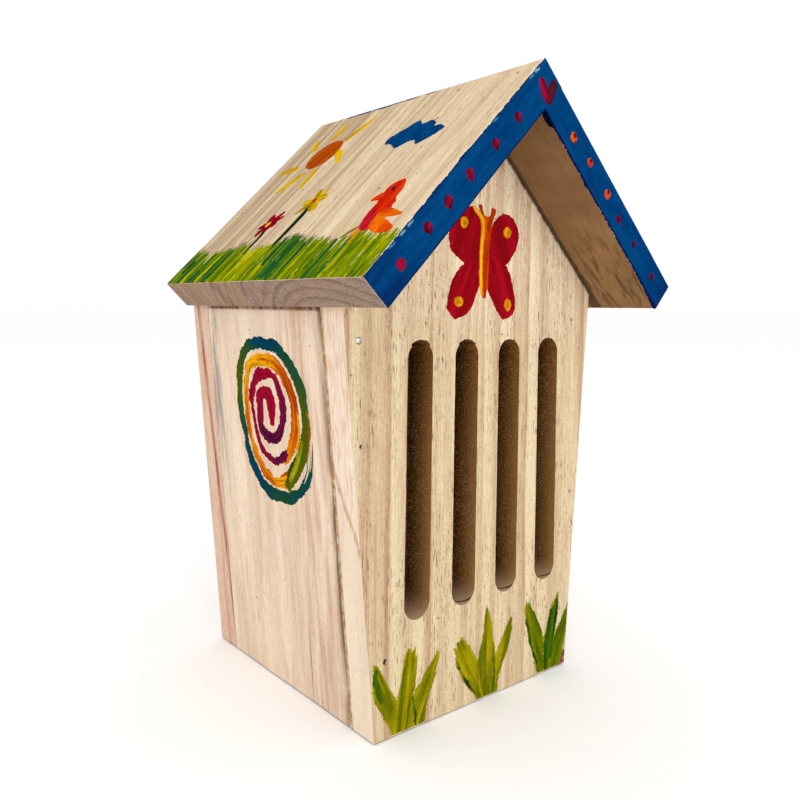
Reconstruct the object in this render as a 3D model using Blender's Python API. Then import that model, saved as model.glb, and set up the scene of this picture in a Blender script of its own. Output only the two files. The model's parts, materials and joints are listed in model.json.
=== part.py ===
"""Small nailed pine insect house: tapered box, slotted front, two-board gable roof.

Metres, +Z up, front towards -Y. The origin lies on the ground, under the ridge and half
way along it.
"""

import math

import bmesh
import bpy
from mathutils import Matrix, Vector

MM = 0.001

# Boards
BOARD = 12.0 * MM            # thickness of every board
GAP = 0.3 * MM               # clearance wherever two pieces meet

# Body: a box that widens upwards, with a gable front and back
BASE_WIDTH = 89.0 * MM       # outside width on the ground
EAVE_WIDTH = 114.0 * MM      # outside width where the walls meet the roof
PEAK_HEIGHT = 193.0 * MM     # top of the gable
PEAK_OFFSET = 2.0 * MM       # the gable peak stands this far right of the body's middle
BODY_DEPTH = 100.0 * MM      # front face to back face

# Roof: two boards at right angles, flush with the back of the body
ROOF_LENGTH = 99.0 * MM      # from the ridge down each slope
FRONT_OVERHANG = 25.0 * MM
ROOF_PITCH = math.radians(45.0)

# Entrance slots, cut right through the front board
SLOT_COUNT = 4
SLOT_WIDTH = 10.5 * MM
SLOT_PITCH = 20.2 * MM
SLOT_BOTTOM = 34.0 * MM
SLOT_TOP = 121.5 * MM
SLOT_ROW_OFFSET = 3.0 * MM   # the row's middle, right of the body's middle
ARC_STEPS = 12               # segments in each round end

# Panel pins, heads sunk level with the wood
PIN_LENGTH = 25.0 * MM
PIN_RADIUS = 0.7 * MM
PIN_POINT = 1.6 * MM         # length of the pointed end
HEAD_RADIUS = 1.15 * MM
HEAD_THICKNESS = 0.6 * MM
HEAD_SINK = 0.1 * MM         # the head's top lies this far below the wood
PIN_SIDES = 10
CUT_RUN_OUT = 1.0 * MM       # cutters run this far past a face

# Where the pins are driven
FRONT_LEFT_PINS = ((24.0, 6.5), (91.0, 3.2), (122.5, 5.2))    # height, distance from the edge (mm)
FRONT_RIGHT_PINS = ((16.0, 8.0), (64.0, 3.2), (128.0, 9.0))
BACK_PINS = ((24.0, 5.5), (75.0, 5.5), (122.0, 5.5))
FLOOR_PIN_X = (-29.0, 30.0)                                  # sideways from the body's middle (mm)
RIDGE_PIN_Y = (9.0, 36.0, 105.0)                             # back from the roof's front edge (mm)
RIDGE_PIN_DROP = 5.0 * MM                                    # down the slope from the ridge
GABLE_PIN_DROP = 58.5 * MM

# Places that follow from the above
ROOF_DEPTH = BODY_DEPTH + FRONT_OVERHANG
ROOF_FRONT_Y = -ROOF_DEPTH / 2
FRONT_Y = ROOF_FRONT_Y + FRONT_OVERHANG
BACK_Y = FRONT_Y + BODY_DEPTH
WALL_FRONT_Y = FRONT_Y + BOARD + GAP
WALL_DEPTH = BODY_DEPTH - 2 * (BOARD + GAP)
RIDGE_HEIGHT = PEAK_HEIGHT + (BOARD + GAP) / math.cos(ROOF_PITCH)
LEFT, RIGHT = -1, 1


# ---------------------------------------------------------------- materials

def material(name, colour, roughness, metallic=0.0):
    """A plain Principled material."""
    made = bpy.data.materials.new(name)
    made.use_nodes = True
    shader = made.node_tree.nodes["Principled BSDF"]
    shader.inputs["Base Color"].default_value = (*colour, 1.0)
    shader.inputs["Roughness"].default_value = roughness
    shader.inputs["Metallic"].default_value = metallic
    made.diffuse_color = (*colour, 1.0)
    made.roughness = roughness
    made.metallic = metallic
    return made


# ---------------------------------------------------------------- mesh helpers

def new_object(name, mesh, finish=None, location=(0, 0, 0), pitch=0.0, parent=None):
    made = bpy.data.objects.new(name, mesh)
    bpy.context.collection.objects.link(made)
    made.location = location
    made.rotation_euler = (0, pitch, 0)
    made.parent = parent
    if finish:
        mesh.materials.append(finish)
    return made


def prism(name, outline, depth):
    """A closed solid: an outline of (x, z) points, extruded from y = 0 to y = depth."""
    bm = bmesh.new()
    corners = [bm.verts.new((x, 0.0, z)) for x, z in outline]
    face = bm.faces.new(corners)
    swept = bmesh.ops.extrude_face_region(bm, geom=[face])["geom"]
    moved = [item for item in swept if isinstance(item, bmesh.types.BMVert)]
    bmesh.ops.translate(bm, verts=moved, vec=(0.0, depth, 0.0))
    bmesh.ops.recalc_face_normals(bm, faces=bm.faces)
    mesh = bpy.data.meshes.new(name)
    bm.to_mesh(mesh)
    bm.free()
    return mesh


def add_turned(bm, profile, place):
    """Turn a profile of (radius, height) points about Z, moved by the matrix place.

    The first and last points lie on the axis.
    """
    def point(radius, height, turn):
        angle = 2 * math.pi * turn / PIN_SIDES
        return place @ Vector((radius * math.cos(angle), radius * math.sin(angle), height))

    start = bm.verts.new(point(*profile[0], 0))
    end = bm.verts.new(point(*profile[-1], 0))
    rings = [[bm.verts.new(point(r, h, turn)) for turn in range(PIN_SIDES)] for r, h in profile[1:-1]]
    for turn in range(PIN_SIDES):
        after = (turn + 1) % PIN_SIDES
        bm.faces.new((start, rings[0][turn], rings[0][after]))
        bm.faces.new((end, rings[-1][after], rings[-1][turn]))
        for upper, lower in zip(rings, rings[1:]):
            bm.faces.new((upper[turn], lower[turn], lower[after], upper[after]))


def turned(name, profile, places):
    """One mesh that holds a turned solid at each place."""
    bm = bmesh.new()
    for place in places:
        add_turned(bm, profile, place)
    bmesh.ops.recalc_face_normals(bm, faces=bm.faces)
    mesh = bpy.data.meshes.new(name)
    bm.to_mesh(mesh)
    bm.free()
    mesh.shade_smooth()
    mesh.set_sharp_from_angle(angle=math.radians(35))
    return mesh


def cut(board, cutter):
    """Take the cutter's shape out of the board."""
    cutter.hide_render = True
    cutter.display_type = "WIRE"
    modifier = board.modifiers.new(cutter.name, "BOOLEAN")
    modifier.operation = "DIFFERENCE"
    modifier.solver = "EXACT"
    modifier.object = cutter


# ---------------------------------------------------------------- body outline

def eave_corner(side):
    """Where a wall's outer face meets the gable's sloping edge."""
    x = side * EAVE_WIDTH / 2 - PEAK_OFFSET
    return x, PEAK_HEIGHT - abs(x)


def wall_line(side, inset):
    """A line up the wall, this far in from its outer face: a point and a direction."""
    eave_x, eave_z = eave_corner(side)
    base_x = side * BASE_WIDTH / 2 - PEAK_OFFSET
    length = math.hypot(eave_x - base_x, eave_z)
    run, rise = (eave_x - base_x) / length, eave_z / length
    return (base_x - side * rise * inset, side * run * inset), (run, rise)


def wall_at_height(side, inset, height):
    (x, z), (run, rise) = wall_line(side, inset)
    return x + run * (height - z) / rise, height


def wall_at_roof(side, inset):
    """Where that line reaches the gable's sloping edge."""
    (x, z), (run, rise) = wall_line(side, inset)
    travel = (PEAK_HEIGHT - side * x - z) / (rise + side * run)
    return x + run * travel, z + rise * travel


def gable_outline():
    left_foot = wall_at_height(LEFT, 0.0, 0.0)
    right_foot = wall_at_height(RIGHT, 0.0, 0.0)
    return [left_foot, right_foot, eave_corner(RIGHT), (0.0, PEAK_HEIGHT), eave_corner(LEFT)]


def wall_outline(side):
    return [
        wall_at_height(side, 0.0, 0.0),
        wall_at_roof(side, 0.0),
        wall_at_roof(side, BOARD),
        wall_at_height(side, BOARD, 0.0),
    ]


def floor_outline():
    inset = BOARD + GAP
    return [
        wall_at_height(LEFT, inset, 0.0),
        wall_at_height(RIGHT, inset, 0.0),
        wall_at_height(RIGHT, inset, BOARD),
        wall_at_height(LEFT, inset, BOARD),
    ]


def slot_outline(middle):
    """A round-ended slot about x = middle."""
    radius = SLOT_WIDTH / 2
    points = []
    for centre, start in ((SLOT_TOP - radius, 0.0), (SLOT_BOTTOM + radius, math.pi)):
        for step in range(ARC_STEPS + 1):
            angle = start + math.pi * step / ARC_STEPS
            points.append((middle + radius * math.cos(angle), centre + radius * math.sin(angle)))
    return points


# ---------------------------------------------------------------- boards

def make_gable_boards(front_finish, back_finish):
    front = new_object("front_board", prism("front_board", gable_outline(), BOARD), front_finish,
                       (0, FRONT_Y, 0))
    back = new_object("back_board", prism("back_board", gable_outline(), BOARD), back_finish,
                      (0, BACK_Y - BOARD, 0))
    return front, back


def make_walls(finish):
    walls = []
    for side, name in ((LEFT, "left_side_board"), (RIGHT, "right_side_board")):
        mesh = prism(name, wall_outline(side), WALL_DEPTH)
        walls.append(new_object(name, mesh, finish, (0, WALL_FRONT_Y, 0)))
    return walls


def make_floor(finish):
    mesh = prism("floor_board", floor_outline(), WALL_DEPTH)
    return new_object("floor_board", mesh, finish, (0, WALL_FRONT_Y, 0))


def make_roof(finish):
    """The left board reaches the ridge; the right one butts against its underside.

    Each is drawn flat, running sideways from the ridge, and then tipped to its slope.
    """
    boards = []
    starts = {LEFT: 0.0, RIGHT: BOARD + GAP}
    for side, name in ((LEFT, "left_roof_board"), (RIGHT, "right_roof_board")):
        near, far = side * starts[side], side * ROOF_LENGTH
        outline = [(near, 0.0), (near, -BOARD), (far, -BOARD), (far, 0.0)]
        mesh = prism(name, outline, ROOF_DEPTH)
        boards.append(new_object(name, mesh, finish, (0, ROOF_FRONT_Y, RIDGE_HEIGHT), side * ROOF_PITCH))
    return boards


def cut_slots(front):
    first = SLOT_ROW_OFFSET - PEAK_OFFSET - SLOT_PITCH * (SLOT_COUNT - 1) / 2
    for number in range(SLOT_COUNT):
        outline = slot_outline(first + number * SLOT_PITCH)
        mesh = prism(f"slot_cutter_{number + 1}", outline, BOARD + 2 * CUT_RUN_OUT)
        cutter = new_object(mesh.name, mesh, location=(0, -CUT_RUN_OUT, 0), parent=front)
        cut(front, cutter)


# ---------------------------------------------------------------- pins

def pin_profile():
    """From the head's top to the point, driven along -Z."""
    top = -HEAD_SINK
    return [
        (0.0, top),
        (HEAD_RADIUS, top),
        (HEAD_RADIUS, top - HEAD_THICKNESS),
        (PIN_RADIUS, top - HEAD_THICKNESS),
        (PIN_RADIUS, top - PIN_LENGTH + PIN_POINT),
        (0.0, top - PIN_LENGTH),
    ]


def pilot_profile():
    """The pin's own hole, a gap larger all round and open above the head."""
    top = -HEAD_SINK
    return [
        (0.0, CUT_RUN_OUT),
        (HEAD_RADIUS + GAP, CUT_RUN_OUT),
        (HEAD_RADIUS + GAP, top - HEAD_THICKNESS - GAP),
        (PIN_RADIUS + GAP, top - HEAD_THICKNESS - GAP),
        (PIN_RADIUS + GAP, top - PIN_LENGTH - GAP),
        (0.0, top - PIN_LENGTH - GAP),
    ]


def drive_pins(name, board, places, into, pin_mesh):
    """Drive a row of pins through the board, and drill that board and the ones behind it."""
    for number, place in enumerate(places, start=1):
        pin = new_object(f"{name}_{number}", pin_mesh, parent=board)
        pin.matrix_local = place
    hole_name = f"{name}_pilot"
    pilot = new_object(hole_name, turned(hole_name, pilot_profile(), places), parent=board)
    for drilled in (board, *into):
        cut(drilled, pilot)


def gable_places(points, facing):
    """Pins driven square into a gable board at (x, z) points: facing -1 front, +1 back."""
    turn = Matrix.Rotation(-facing * math.pi / 2, 4, "X")
    face_y = BOARD if facing > 0 else 0.0
    return [Matrix.Translation((x, face_y, z)) @ turn for x, z in points]


def edge_points(side, pins):
    return [wall_at_height(side, inset * MM, height * MM) for height, inset in pins]


def roof_places(side, points):
    """Pins driven square into a roof board, at (distance down the slope, distance back)."""
    return [Matrix.Translation((side * drop, back, 0.0)) for drop, back in points]


def pin_the_body(front, back, walls, floor, pin_mesh):
    left_wall, right_wall = walls
    floor_points = [(x * MM - PEAK_OFFSET, BOARD / 2) for x in FLOOR_PIN_X]
    groups = (
        ("front_left_pin", front, -1, edge_points(LEFT, FRONT_LEFT_PINS), left_wall),
        ("front_right_pin", front, -1, edge_points(RIGHT, FRONT_RIGHT_PINS), right_wall),
        ("front_floor_pin", front, -1, floor_points, floor),
        ("back_left_pin", back, 1, edge_points(LEFT, BACK_PINS), left_wall),
        ("back_right_pin", back, 1, edge_points(RIGHT, BACK_PINS), right_wall),
        ("back_floor_pin", back, 1, floor_points, floor),
    )
    for name, board, facing, points, behind in groups:
        drive_pins(name, board, gable_places(points, facing), [behind], pin_mesh)


def pin_the_roof(roof, front, back, pin_mesh):
    left_roof, right_roof = roof
    ridge_points = [(RIDGE_PIN_DROP, back_by * MM) for back_by in RIDGE_PIN_Y]
    drive_pins("ridge_pin", left_roof, roof_places(LEFT, ridge_points), [right_roof], pin_mesh)
    over_front = FRONT_OVERHANG + BOARD / 2
    over_back = ROOF_DEPTH - BOARD / 2
    gable_points = [(GABLE_PIN_DROP, over_front), (GABLE_PIN_DROP, over_back)]
    for side, board, name in ((LEFT, left_roof, "left_roof_pin"), (RIGHT, right_roof, "right_roof_pin")):
        drive_pins(name, board, roof_places(side, gable_points), [front, back], pin_mesh)


# ---------------------------------------------------------------- assembly

def main():
    for old in list(bpy.data.objects):
        bpy.data.objects.remove(old, do_unlink=True)

    cream_pine = material("cream_pine", (0.76, 0.62, 0.40), 0.65)
    pink_pine = material("pink_pine", (0.78, 0.57, 0.42), 0.65)
    roof_pine = material("roof_pine", (0.70, 0.56, 0.37), 0.7)
    steel = material("pin_steel", (0.55, 0.56, 0.58), 0.35, metallic=1.0)

    front, back = make_gable_boards(cream_pine, pink_pine)
    walls = make_walls(pink_pine)
    floor = make_floor(pink_pine)
    roof = make_roof(roof_pine)
    cut_slots(front)
    pin_mesh = turned("panel_pin", pin_profile(), [Matrix.Identity(4)])
    pin_mesh.materials.append(steel)
    pin_the_body(front, back, walls, floor, pin_mesh)
    pin_the_roof(roof, front, back, pin_mesh)


main()
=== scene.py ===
"""The looks of a small hand-painted pine insect house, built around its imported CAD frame.

Boards, pins and paint are drawn in millimetres in the row frame and stored in metres. Every
motif is painted by code: brush strokes are laid on a grid, and the grid becomes a thin film.
"""
import json
import math

import bmesh
import bpy
import numpy as np
from mathutils import Euler, Matrix, Vector


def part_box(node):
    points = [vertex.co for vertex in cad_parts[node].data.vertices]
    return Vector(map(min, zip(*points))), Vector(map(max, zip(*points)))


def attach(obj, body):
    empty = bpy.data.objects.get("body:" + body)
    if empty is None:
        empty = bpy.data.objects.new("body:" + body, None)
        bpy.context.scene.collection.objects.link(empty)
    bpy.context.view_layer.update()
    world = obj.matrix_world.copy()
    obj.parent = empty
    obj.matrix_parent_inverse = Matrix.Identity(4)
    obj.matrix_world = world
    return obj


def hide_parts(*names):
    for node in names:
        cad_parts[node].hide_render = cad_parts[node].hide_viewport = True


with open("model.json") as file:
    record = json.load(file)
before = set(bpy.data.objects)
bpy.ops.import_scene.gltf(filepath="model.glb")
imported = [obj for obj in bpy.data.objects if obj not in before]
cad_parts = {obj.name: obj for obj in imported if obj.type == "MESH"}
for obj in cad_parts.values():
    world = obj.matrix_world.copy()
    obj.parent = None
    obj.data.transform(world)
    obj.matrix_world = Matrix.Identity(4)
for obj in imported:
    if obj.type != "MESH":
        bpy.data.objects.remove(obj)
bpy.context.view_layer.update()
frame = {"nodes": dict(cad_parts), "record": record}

MM = 0.001

# ---------------------------------------------------------------- sizes, from the frame


def box_mm(node):
    low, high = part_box(node)
    return np.array(low) / MM, np.array(high) / MM


FRONT_LOW, FRONT_HIGH = box_mm("front_board")
BACK_Y = box_mm("back_board")[1][1]
ROOF_LOW, ROOF_HIGH = box_mm("left_roof_board")
RIGHT_ROOF_HIGH = box_mm("right_roof_board")[1]

FRONT_Y, FRONT_INNER = FRONT_LOW[1], FRONT_HIGH[1]
BOARD = FRONT_INNER - FRONT_Y
BACK_INNER = BACK_Y - BOARD
ROOF_FRONT_Y, ROOF_BACK_Y = ROOF_LOW[1], ROOF_HIGH[1]
ROOF_DEPTH = ROOF_BACK_Y - ROOF_FRONT_Y
PEAK = FRONT_HIGH[2]
RIDGE = ROOF_HIGH[2]
ROOT_HALF = math.sqrt(0.5)      # both roof slopes are at 45 degrees
ROOF_LENGTH = RIGHT_ROOF_HIGH[0] / ROOT_HALF
LEFT, RIGHT = -1, 1
BASE_WIDTH = 89.0
EAVE_WIDTH = FRONT_HIGH[0] - FRONT_LOW[0]
MIDDLE_X = (FRONT_HIGH[0] + FRONT_LOW[0]) / 2
EAVE = {side: (MIDDLE_X + side * EAVE_WIDTH / 2, PEAK - abs(MIDDLE_X + side * EAVE_WIDTH / 2))
        for side in (LEFT, RIGHT)}
FOOT = {side: (MIDDLE_X + side * BASE_WIDTH / 2, 0.0) for side in (LEFT, RIGHT)}

SLOT_BOXES = [opening["box_m"] for opening in frame["record"]["physics"]["openings"]
              if opening["name"].startswith("entrance_slot")]
SLOT_MIDDLES = [(low[0] + high[0]) / 2 / MM for low, high in SLOT_BOXES]
SLOT_PITCH = SLOT_MIDDLES[1] - SLOT_MIDDLES[0]
SLOT_WIDTH = 10.5
SLOT_LEAN = 0.011               # the slots run slightly askew
SLOT_BOTTOM, SLOT_TOP = 34.0, 121.5
SLOT_RAISED = (0.7, 0.4, 0.0, 0.0)      # how far each slot's top reaches past SLOT_TOP
RIM = 0.15           # the slot walls' scorch and painted shade stop this far from the board's faces

SKIN = 0.22          # roof boards and pin heads stay this far inside the CAD faces, for the paint
EASE = 0.38          # radius of the eased edges
FRONT_GAP = 0.55     # open joint between the front board and the side walls
BACK_GAP = 0.35
FLOOR_GAP = 0.3
RIDGE_GAP = 0.25
STEP = 3.0           # spacing of points along a board's outline
SMOOTH_ANGLE, SHARP_ANGLE = 12, 35      # degrees, for shading and for edges to ease
PINS = [name for name in frame["nodes"] if "_pin_" in name]


# ---------------------------------------------------------------- small helpers


def hashed(ix, iy, seed):
    """A number from 0 to 1 that is fixed for each grid point and seed."""
    n = (ix * 374761393 + iy * 668265263 + seed * 974634777) & 0xFFFFFFFF
    n = ((n ^ (n >> 13)) * 1274126177) & 0xFFFFFFFF
    return ((n ^ (n >> 16)) & 0xFFFF) / 65535.0


def noise(x, y, seed):
    """Smooth value noise from 0 to 1."""
    x, y = np.broadcast_arrays(np.asarray(x, float), np.asarray(y, float))
    ix, iy = np.floor(x).astype(np.int64), np.floor(y).astype(np.int64)
    fx, fy = x - ix, y - iy
    fx, fy = fx * fx * (3 - 2 * fx), fy * fy * (3 - 2 * fy)
    low = hashed(ix, iy, seed) * (1 - fx) + hashed(ix + 1, iy, seed) * fx
    high = hashed(ix, iy + 1, seed) * (1 - fx) + hashed(ix + 1, iy + 1, seed) * fx
    return low * (1 - fy) + high * fy


def warp(points):
    """The slight unevenness of hand-sawn boards, which is the same for a board and its paint."""
    x, y, z = points.T
    broad, fine, lowest = 0.16, 0.05, 0.01
    moved = points.copy()
    moved[:, 0] += broad * (noise(z / 19, y / 23, 5) - 0.5) + fine * (noise(z / 4, y / 5, 6) - 0.5)
    moved[:, 2] += broad * (noise(x / 17, y / 21, 7) - 0.5) + fine * (noise(x / 4, y / 5, 8) - 0.5)
    moved[:, 2] = np.maximum(moved[:, 2], lowest)
    return moved


def unit(vector):
    return vector / np.linalg.norm(vector)


def travelled(points):
    """How far along a path each of its points lies."""
    return np.concatenate(([0.0], np.cumsum(np.linalg.norm(np.diff(points, axis=0), axis=1))))


def around(centre, wide, tall, count=12):
    """Points round an ellipse."""
    return [(centre[0] + wide / 2 * math.cos(a), centre[1] + tall / 2 * math.sin(a))
            for a in np.linspace(0, 2 * math.pi, count + 1)[:-1]]


def add_object(name, data):
    made = bpy.data.objects.new(name, data)
    bpy.context.collection.objects.link(made)
    return made


def mesh_from(name, bm):
    mesh = bpy.data.meshes.new(name)
    bm.to_mesh(mesh)
    bm.free()
    return mesh


# ---------------------------------------------------------------- materials


def linear(code):
    """A display colour such as e8d5ae, as linear red, green and blue."""
    values = [int(code[i:i + 2], 16) / 255 for i in (0, 2, 4)]
    return tuple(v / 12.92 if v <= 0.04045 else ((v + 0.055) / 1.055) ** 2.4 for v in values)


class Value:
    """A node's output, which can be added, multiplied and shaped like a number."""

    def __init__(self, graph, socket):
        self.graph, self.socket = graph, socket

    def __add__(self, other):
        return self.graph.math("ADD", self, other)

    def __sub__(self, other):
        return self.graph.math("SUBTRACT", self, other)

    def __rsub__(self, other):
        return self.graph.math("SUBTRACT", other, self)

    def __mul__(self, other):
        return self.graph.math("MULTIPLY", self, other)

    def __truediv__(self, other):
        return self.graph.math("DIVIDE", self, other)

    def ramp(self, *stops):
        """A grey curve through (position, level) stops."""
        made = self.graph.node("ValToRGB", _0=self)
        elements = made.socket.node.color_ramp.elements
        while len(elements) < len(stops):
            elements.new(0.5)
        for element, (position, level) in zip(elements, stops):
            element.position = position
            element.color = (level, level, level, 1.0)
        return made

    def rise(self, low, high, start=0.0, end=1.0):
        """Goes from start to end while this goes from low to high."""
        return self.graph.node("MapRange", Value=self, _1=low, _2=high, _3=start, _4=end)

    def band(self, low, high, soft):
        """1 where this lies from low to high, fading over soft."""
        return self.rise(low - soft, low + soft) * self.rise(high - soft, high + soft, 1.0, 0.0)


class Graph:
    """A material's node tree, with short ways to add nodes.

    A colour is a display code, or three linear numbers.
    """

    def __init__(self, name):
        self.material = bpy.data.materials.new(name)
        self.material.use_nodes = True
        self.tree = self.material.node_tree
        self.shader = self.tree.nodes["Principled BSDF"]

    def put(self, socket, value):
        if isinstance(value, Value):
            self.tree.links.new(value.socket, socket)
        elif socket.type == "RGBA":
            socket.default_value = (*(linear(value) if isinstance(value, str) else value), 1.0)
        else:
            socket.default_value = value

    def node(self, kind, output=0, settings=None, **inputs):
        """A new node. Its inputs go by name, or by number after an underscore."""
        made = self.tree.nodes.new("ShaderNode" + kind)
        for key, value in (settings or {}).items():
            setattr(made, key, value)
        for key, value in inputs.items():
            self.put(made.inputs[int(key[1:])] if key[0] == "_" else made.inputs[key], value)
        return Value(self, made.outputs[output])

    def math(self, operation, a, b=0.0, c=0.0):
        return self.node("Math", settings={"operation": operation}, _0=a, _1=b, _2=c)

    def vector(self, operation, a, b=(0.0, 0.0, 0.0), scale=1.0, output=0):
        return self.node("VectorMath", output, {"operation": operation}, _0=a, _1=b, _3=scale)

    def mix(self, factor, a, b, blend="MIX"):
        return self.node("Mix", 2, {"data_type": "RGBA", "blend_type": blend}, _0=factor, _6=a, _7=b)

    def place(self, **mapping):
        """Each point's place in mm, which may be turned and moved."""
        return self.node("Mapping", Vector=self.node("TexCoord", 3), Scale=(1 / MM,) * 3, **mapping)

    def axes(self, place):
        return [self.node("SeparateXYZ", index, Vector=place) for index in range(3)]

    def noise(self, place, scale, detail=2.0, output=0):
        """Noise per millimetre, alike in all directions or with a scale for each axis."""
        scales = scale if isinstance(scale, tuple) else (scale,) * 3
        stretched = self.vector("MULTIPLY", place, scales)
        return self.node("TexNoise", output, Vector=stretched, Scale=1.0, Detail=detail)

    def facing(self, normal, direction):
        """1 on faces that look along a direction."""
        return self.vector("DOT_PRODUCT", normal, direction, output=1).rise(0.3, 0.9)

    def finish(self, colour, roughness, height, distance, strength, specular=0.0, metallic=0.0):
        """Fills in the shader, with a relief as deep as distance in metres."""
        relief = self.node("Bump", Height=height, Distance=distance, Strength=strength)
        for name, value in (("Base Color", colour), ("Roughness", roughness), ("Normal", relief),
                            ("Specular IOR Level", specular), ("Metallic", metallic)):
            self.put(self.shader.inputs[name], value)
        return self.material


def wood(name, pale, deep, grain, pith, spacing, rings=0.5, stripes=0.5, dashes=0.6, wander=5.0,
         streaks=0.0, streak_tone="8d7358", dash_tone="8a6a46", end_tone="a88c7c", marks=None):
    """Sawn pine as a solid texture.

    grain is the direction of the fibres, and pith a point (mm) on the line that the growth rings
    go round. Both are in the row frame, so faces show stripes and end cuts show arcs. marks adds
    what only this board has: it takes the graph, the place in mm, a face's normal and the colour.
    """
    g = Graph(name)
    grain = Vector(grain).normalized()
    turn = grain.to_track_quat("Z", "Y").inverted()
    log = g.place(Rotation=turn.to_euler("XYZ"), Location=-(turn @ Vector(pith)))

    sway = g.vector("SUBTRACT", g.noise(log, (0.03, 0.03, 0.007), output=1), (0.5, 0.5, 0.5))
    grown = g.vector("ADD", log, g.vector("SCALE", sway, scale=wander * 2))
    radius = g.vector("LENGTH", g.vector("MULTIPLY", grown, (1.0, 1.0, 0.0)), output=1)
    phase = radius / spacing
    year = g.node("TexWhiteNoise", settings={"noise_dimensions": "1D"}, W=g.math("FLOOR", phase))
    late = g.math("FRACT", phase).ramp((0.0, 0.35), (0.12, 0.0), (0.55, 0.12), (0.86, 0.85),
                                       (0.95, 1.0), (1.0, 0.35))
    late = late * (year * 0.8 + 0.35)

    broad = g.noise(grown, (0.16, 0.16, 0.006), 2.5).ramp((0.32, 0.0), (0.68, 1.0))
    fibre = g.noise(grown, (2.6, 2.6, 0.07), 4.0)
    fuzz = g.noise(log, (2.2, 2.2, 1.4), 3.0)
    patchy = g.noise(grown, (0.2, 0.2, 0.03), 1.0).ramp((0.4, 0.15), (0.6, 1.0))
    canal = g.noise(grown, (2.3, 2.3, 0.26), 1.0).ramp((0.62, 0.0), (0.68, 1.0)) * patchy
    run = g.noise(grown, (0.55, 0.55, 0.007), 3.0).ramp((0.53, 0.0), (0.72, 1.0))
    bank = g.noise(grown, (0.06, 0.06, 0.004), 1.0).ramp((0.4, 0.1), (0.62, 1.0))
    speck = g.node("TexVoronoi", Vector=log, Scale=0.13).ramp((0.035, 0.8), (0.06, 0.0))
    dust = g.noise(log, (1.9, 1.9, 1.2), 4.0).ramp((0.3, 0.5), (0.45, 0.0))

    depth = late * rings + broad * stripes + (fibre - 0.5) * 1.1 + (fuzz - 0.5) * 0.6
    colour = g.mix(depth, pale, deep)
    colour = g.mix(run * bank * streaks, colour, streak_tone)
    colour = g.mix(canal * dashes, colour, dash_tone)
    colour = g.mix(speck, colour, "5e4a3a")
    colour = g.mix(dust, colour, deep)

    normal = g.node("NewGeometry", 1)
    along = g.vector("DOT_PRODUCT", normal, tuple(grain), output=1)
    torn = g.noise(log, (0.35, 1.6, 0.4), 3.0).ramp((0.42, 0.0), (0.62, 0.5))
    speckle = g.noise(log, (1.5, 1.5, 0.5), 4.0).ramp((0.3, 0.5), (0.44, 0.0))
    end_cut = g.mix(late * 0.9, end_tone, "5c4636")
    end_cut = g.mix(torn, end_cut, "7c6254")
    end_cut = g.mix(speckle, end_cut, "dcc8ba")
    colour = g.mix(g.math("ABSOLUTE", along).ramp((0.72, 0.0), (0.9, 1.0)) * 0.9, colour, end_cut)
    if marks:
        colour = marks(g, g.place(), normal, colour)
    relief = fibre * 0.6 + late * 0.5 - canal * 0.9 + fuzz * 0.5
    return g.finish(colour, fibre * 0.22 + 0.65, relief, 0.00012, 0.7)


def front_marks(g, spot, normal, colour):
    """On the front board: a pale sawn edge, red above a ragged slant and with a brown line at its
    back, a gable painted paler towards the peak against the roof's shade, a painted shadow line under the
    roof, and a brown stain at the right foot."""
    x, y, z = g.axes(spot)
    edge = g.facing(normal, (-1.0, 0.0, -0.08))
    ragged = g.noise(spot, (1.4, 1.4, 0.09), 3.0)
    flecks = g.noise(spot, 0.5, 3.0)
    worn = g.noise(spot, (0.8, 0.8, 0.5), 3.0).ramp((0.3, 0.25), (0.6, 1.0))
    colour = g.mix(edge * 0.72, colour, "f4e2cc")
    level = z - (y - FRONT_Y) * 2.2 + ragged * 16.0
    reddish = g.mix(ragged.ramp((0.4, 0.0), (0.7, 1.0)), "f6e2ce", "d6ac90")
    colour = g.mix(level.rise(64.0, 68.0) * edge * 0.75, colour, reddish)
    colour = g.mix(level.band(65.0, 68.0, 1.0) * edge * 0.6, colour, "a8765a")
    # Painted light: the gable is made paler towards the peak, against the shade under the roof.
    gable_painted_light = z.rise(118.0, 150.0, 0.0, 0.75) * (1.0 - edge)
    colour = g.mix(gable_painted_light, colour, (1.25, 1.3, 1.45), "MULTIPLY")
    # Painted shadow: a dark ragged line along the gable just under the roof.
    painted_shadow_under_roof = (g.math("ABSOLUTE", x) + z).band(PEAK - 0.8, PEAK + 9.0, 0.7)
    colour = g.mix(painted_shadow_under_roof * flecks.ramp((0.35, 0.35), (0.6, 1.0)), colour, "4a3018")
    foot = x.band(39.0, 60.0, 1.6) * z.band(-5.0, 7.0, 3.0)
    colour = g.mix(foot * flecks.ramp((0.36, 0.0), (0.5, 1.0)), colour, "6c3e34")
    line = y.band(FRONT_INNER - 1.3, FRONT_INNER + 1.0, 0.3) * edge
    return g.mix(line * worn, colour, "a87a3c")


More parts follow.
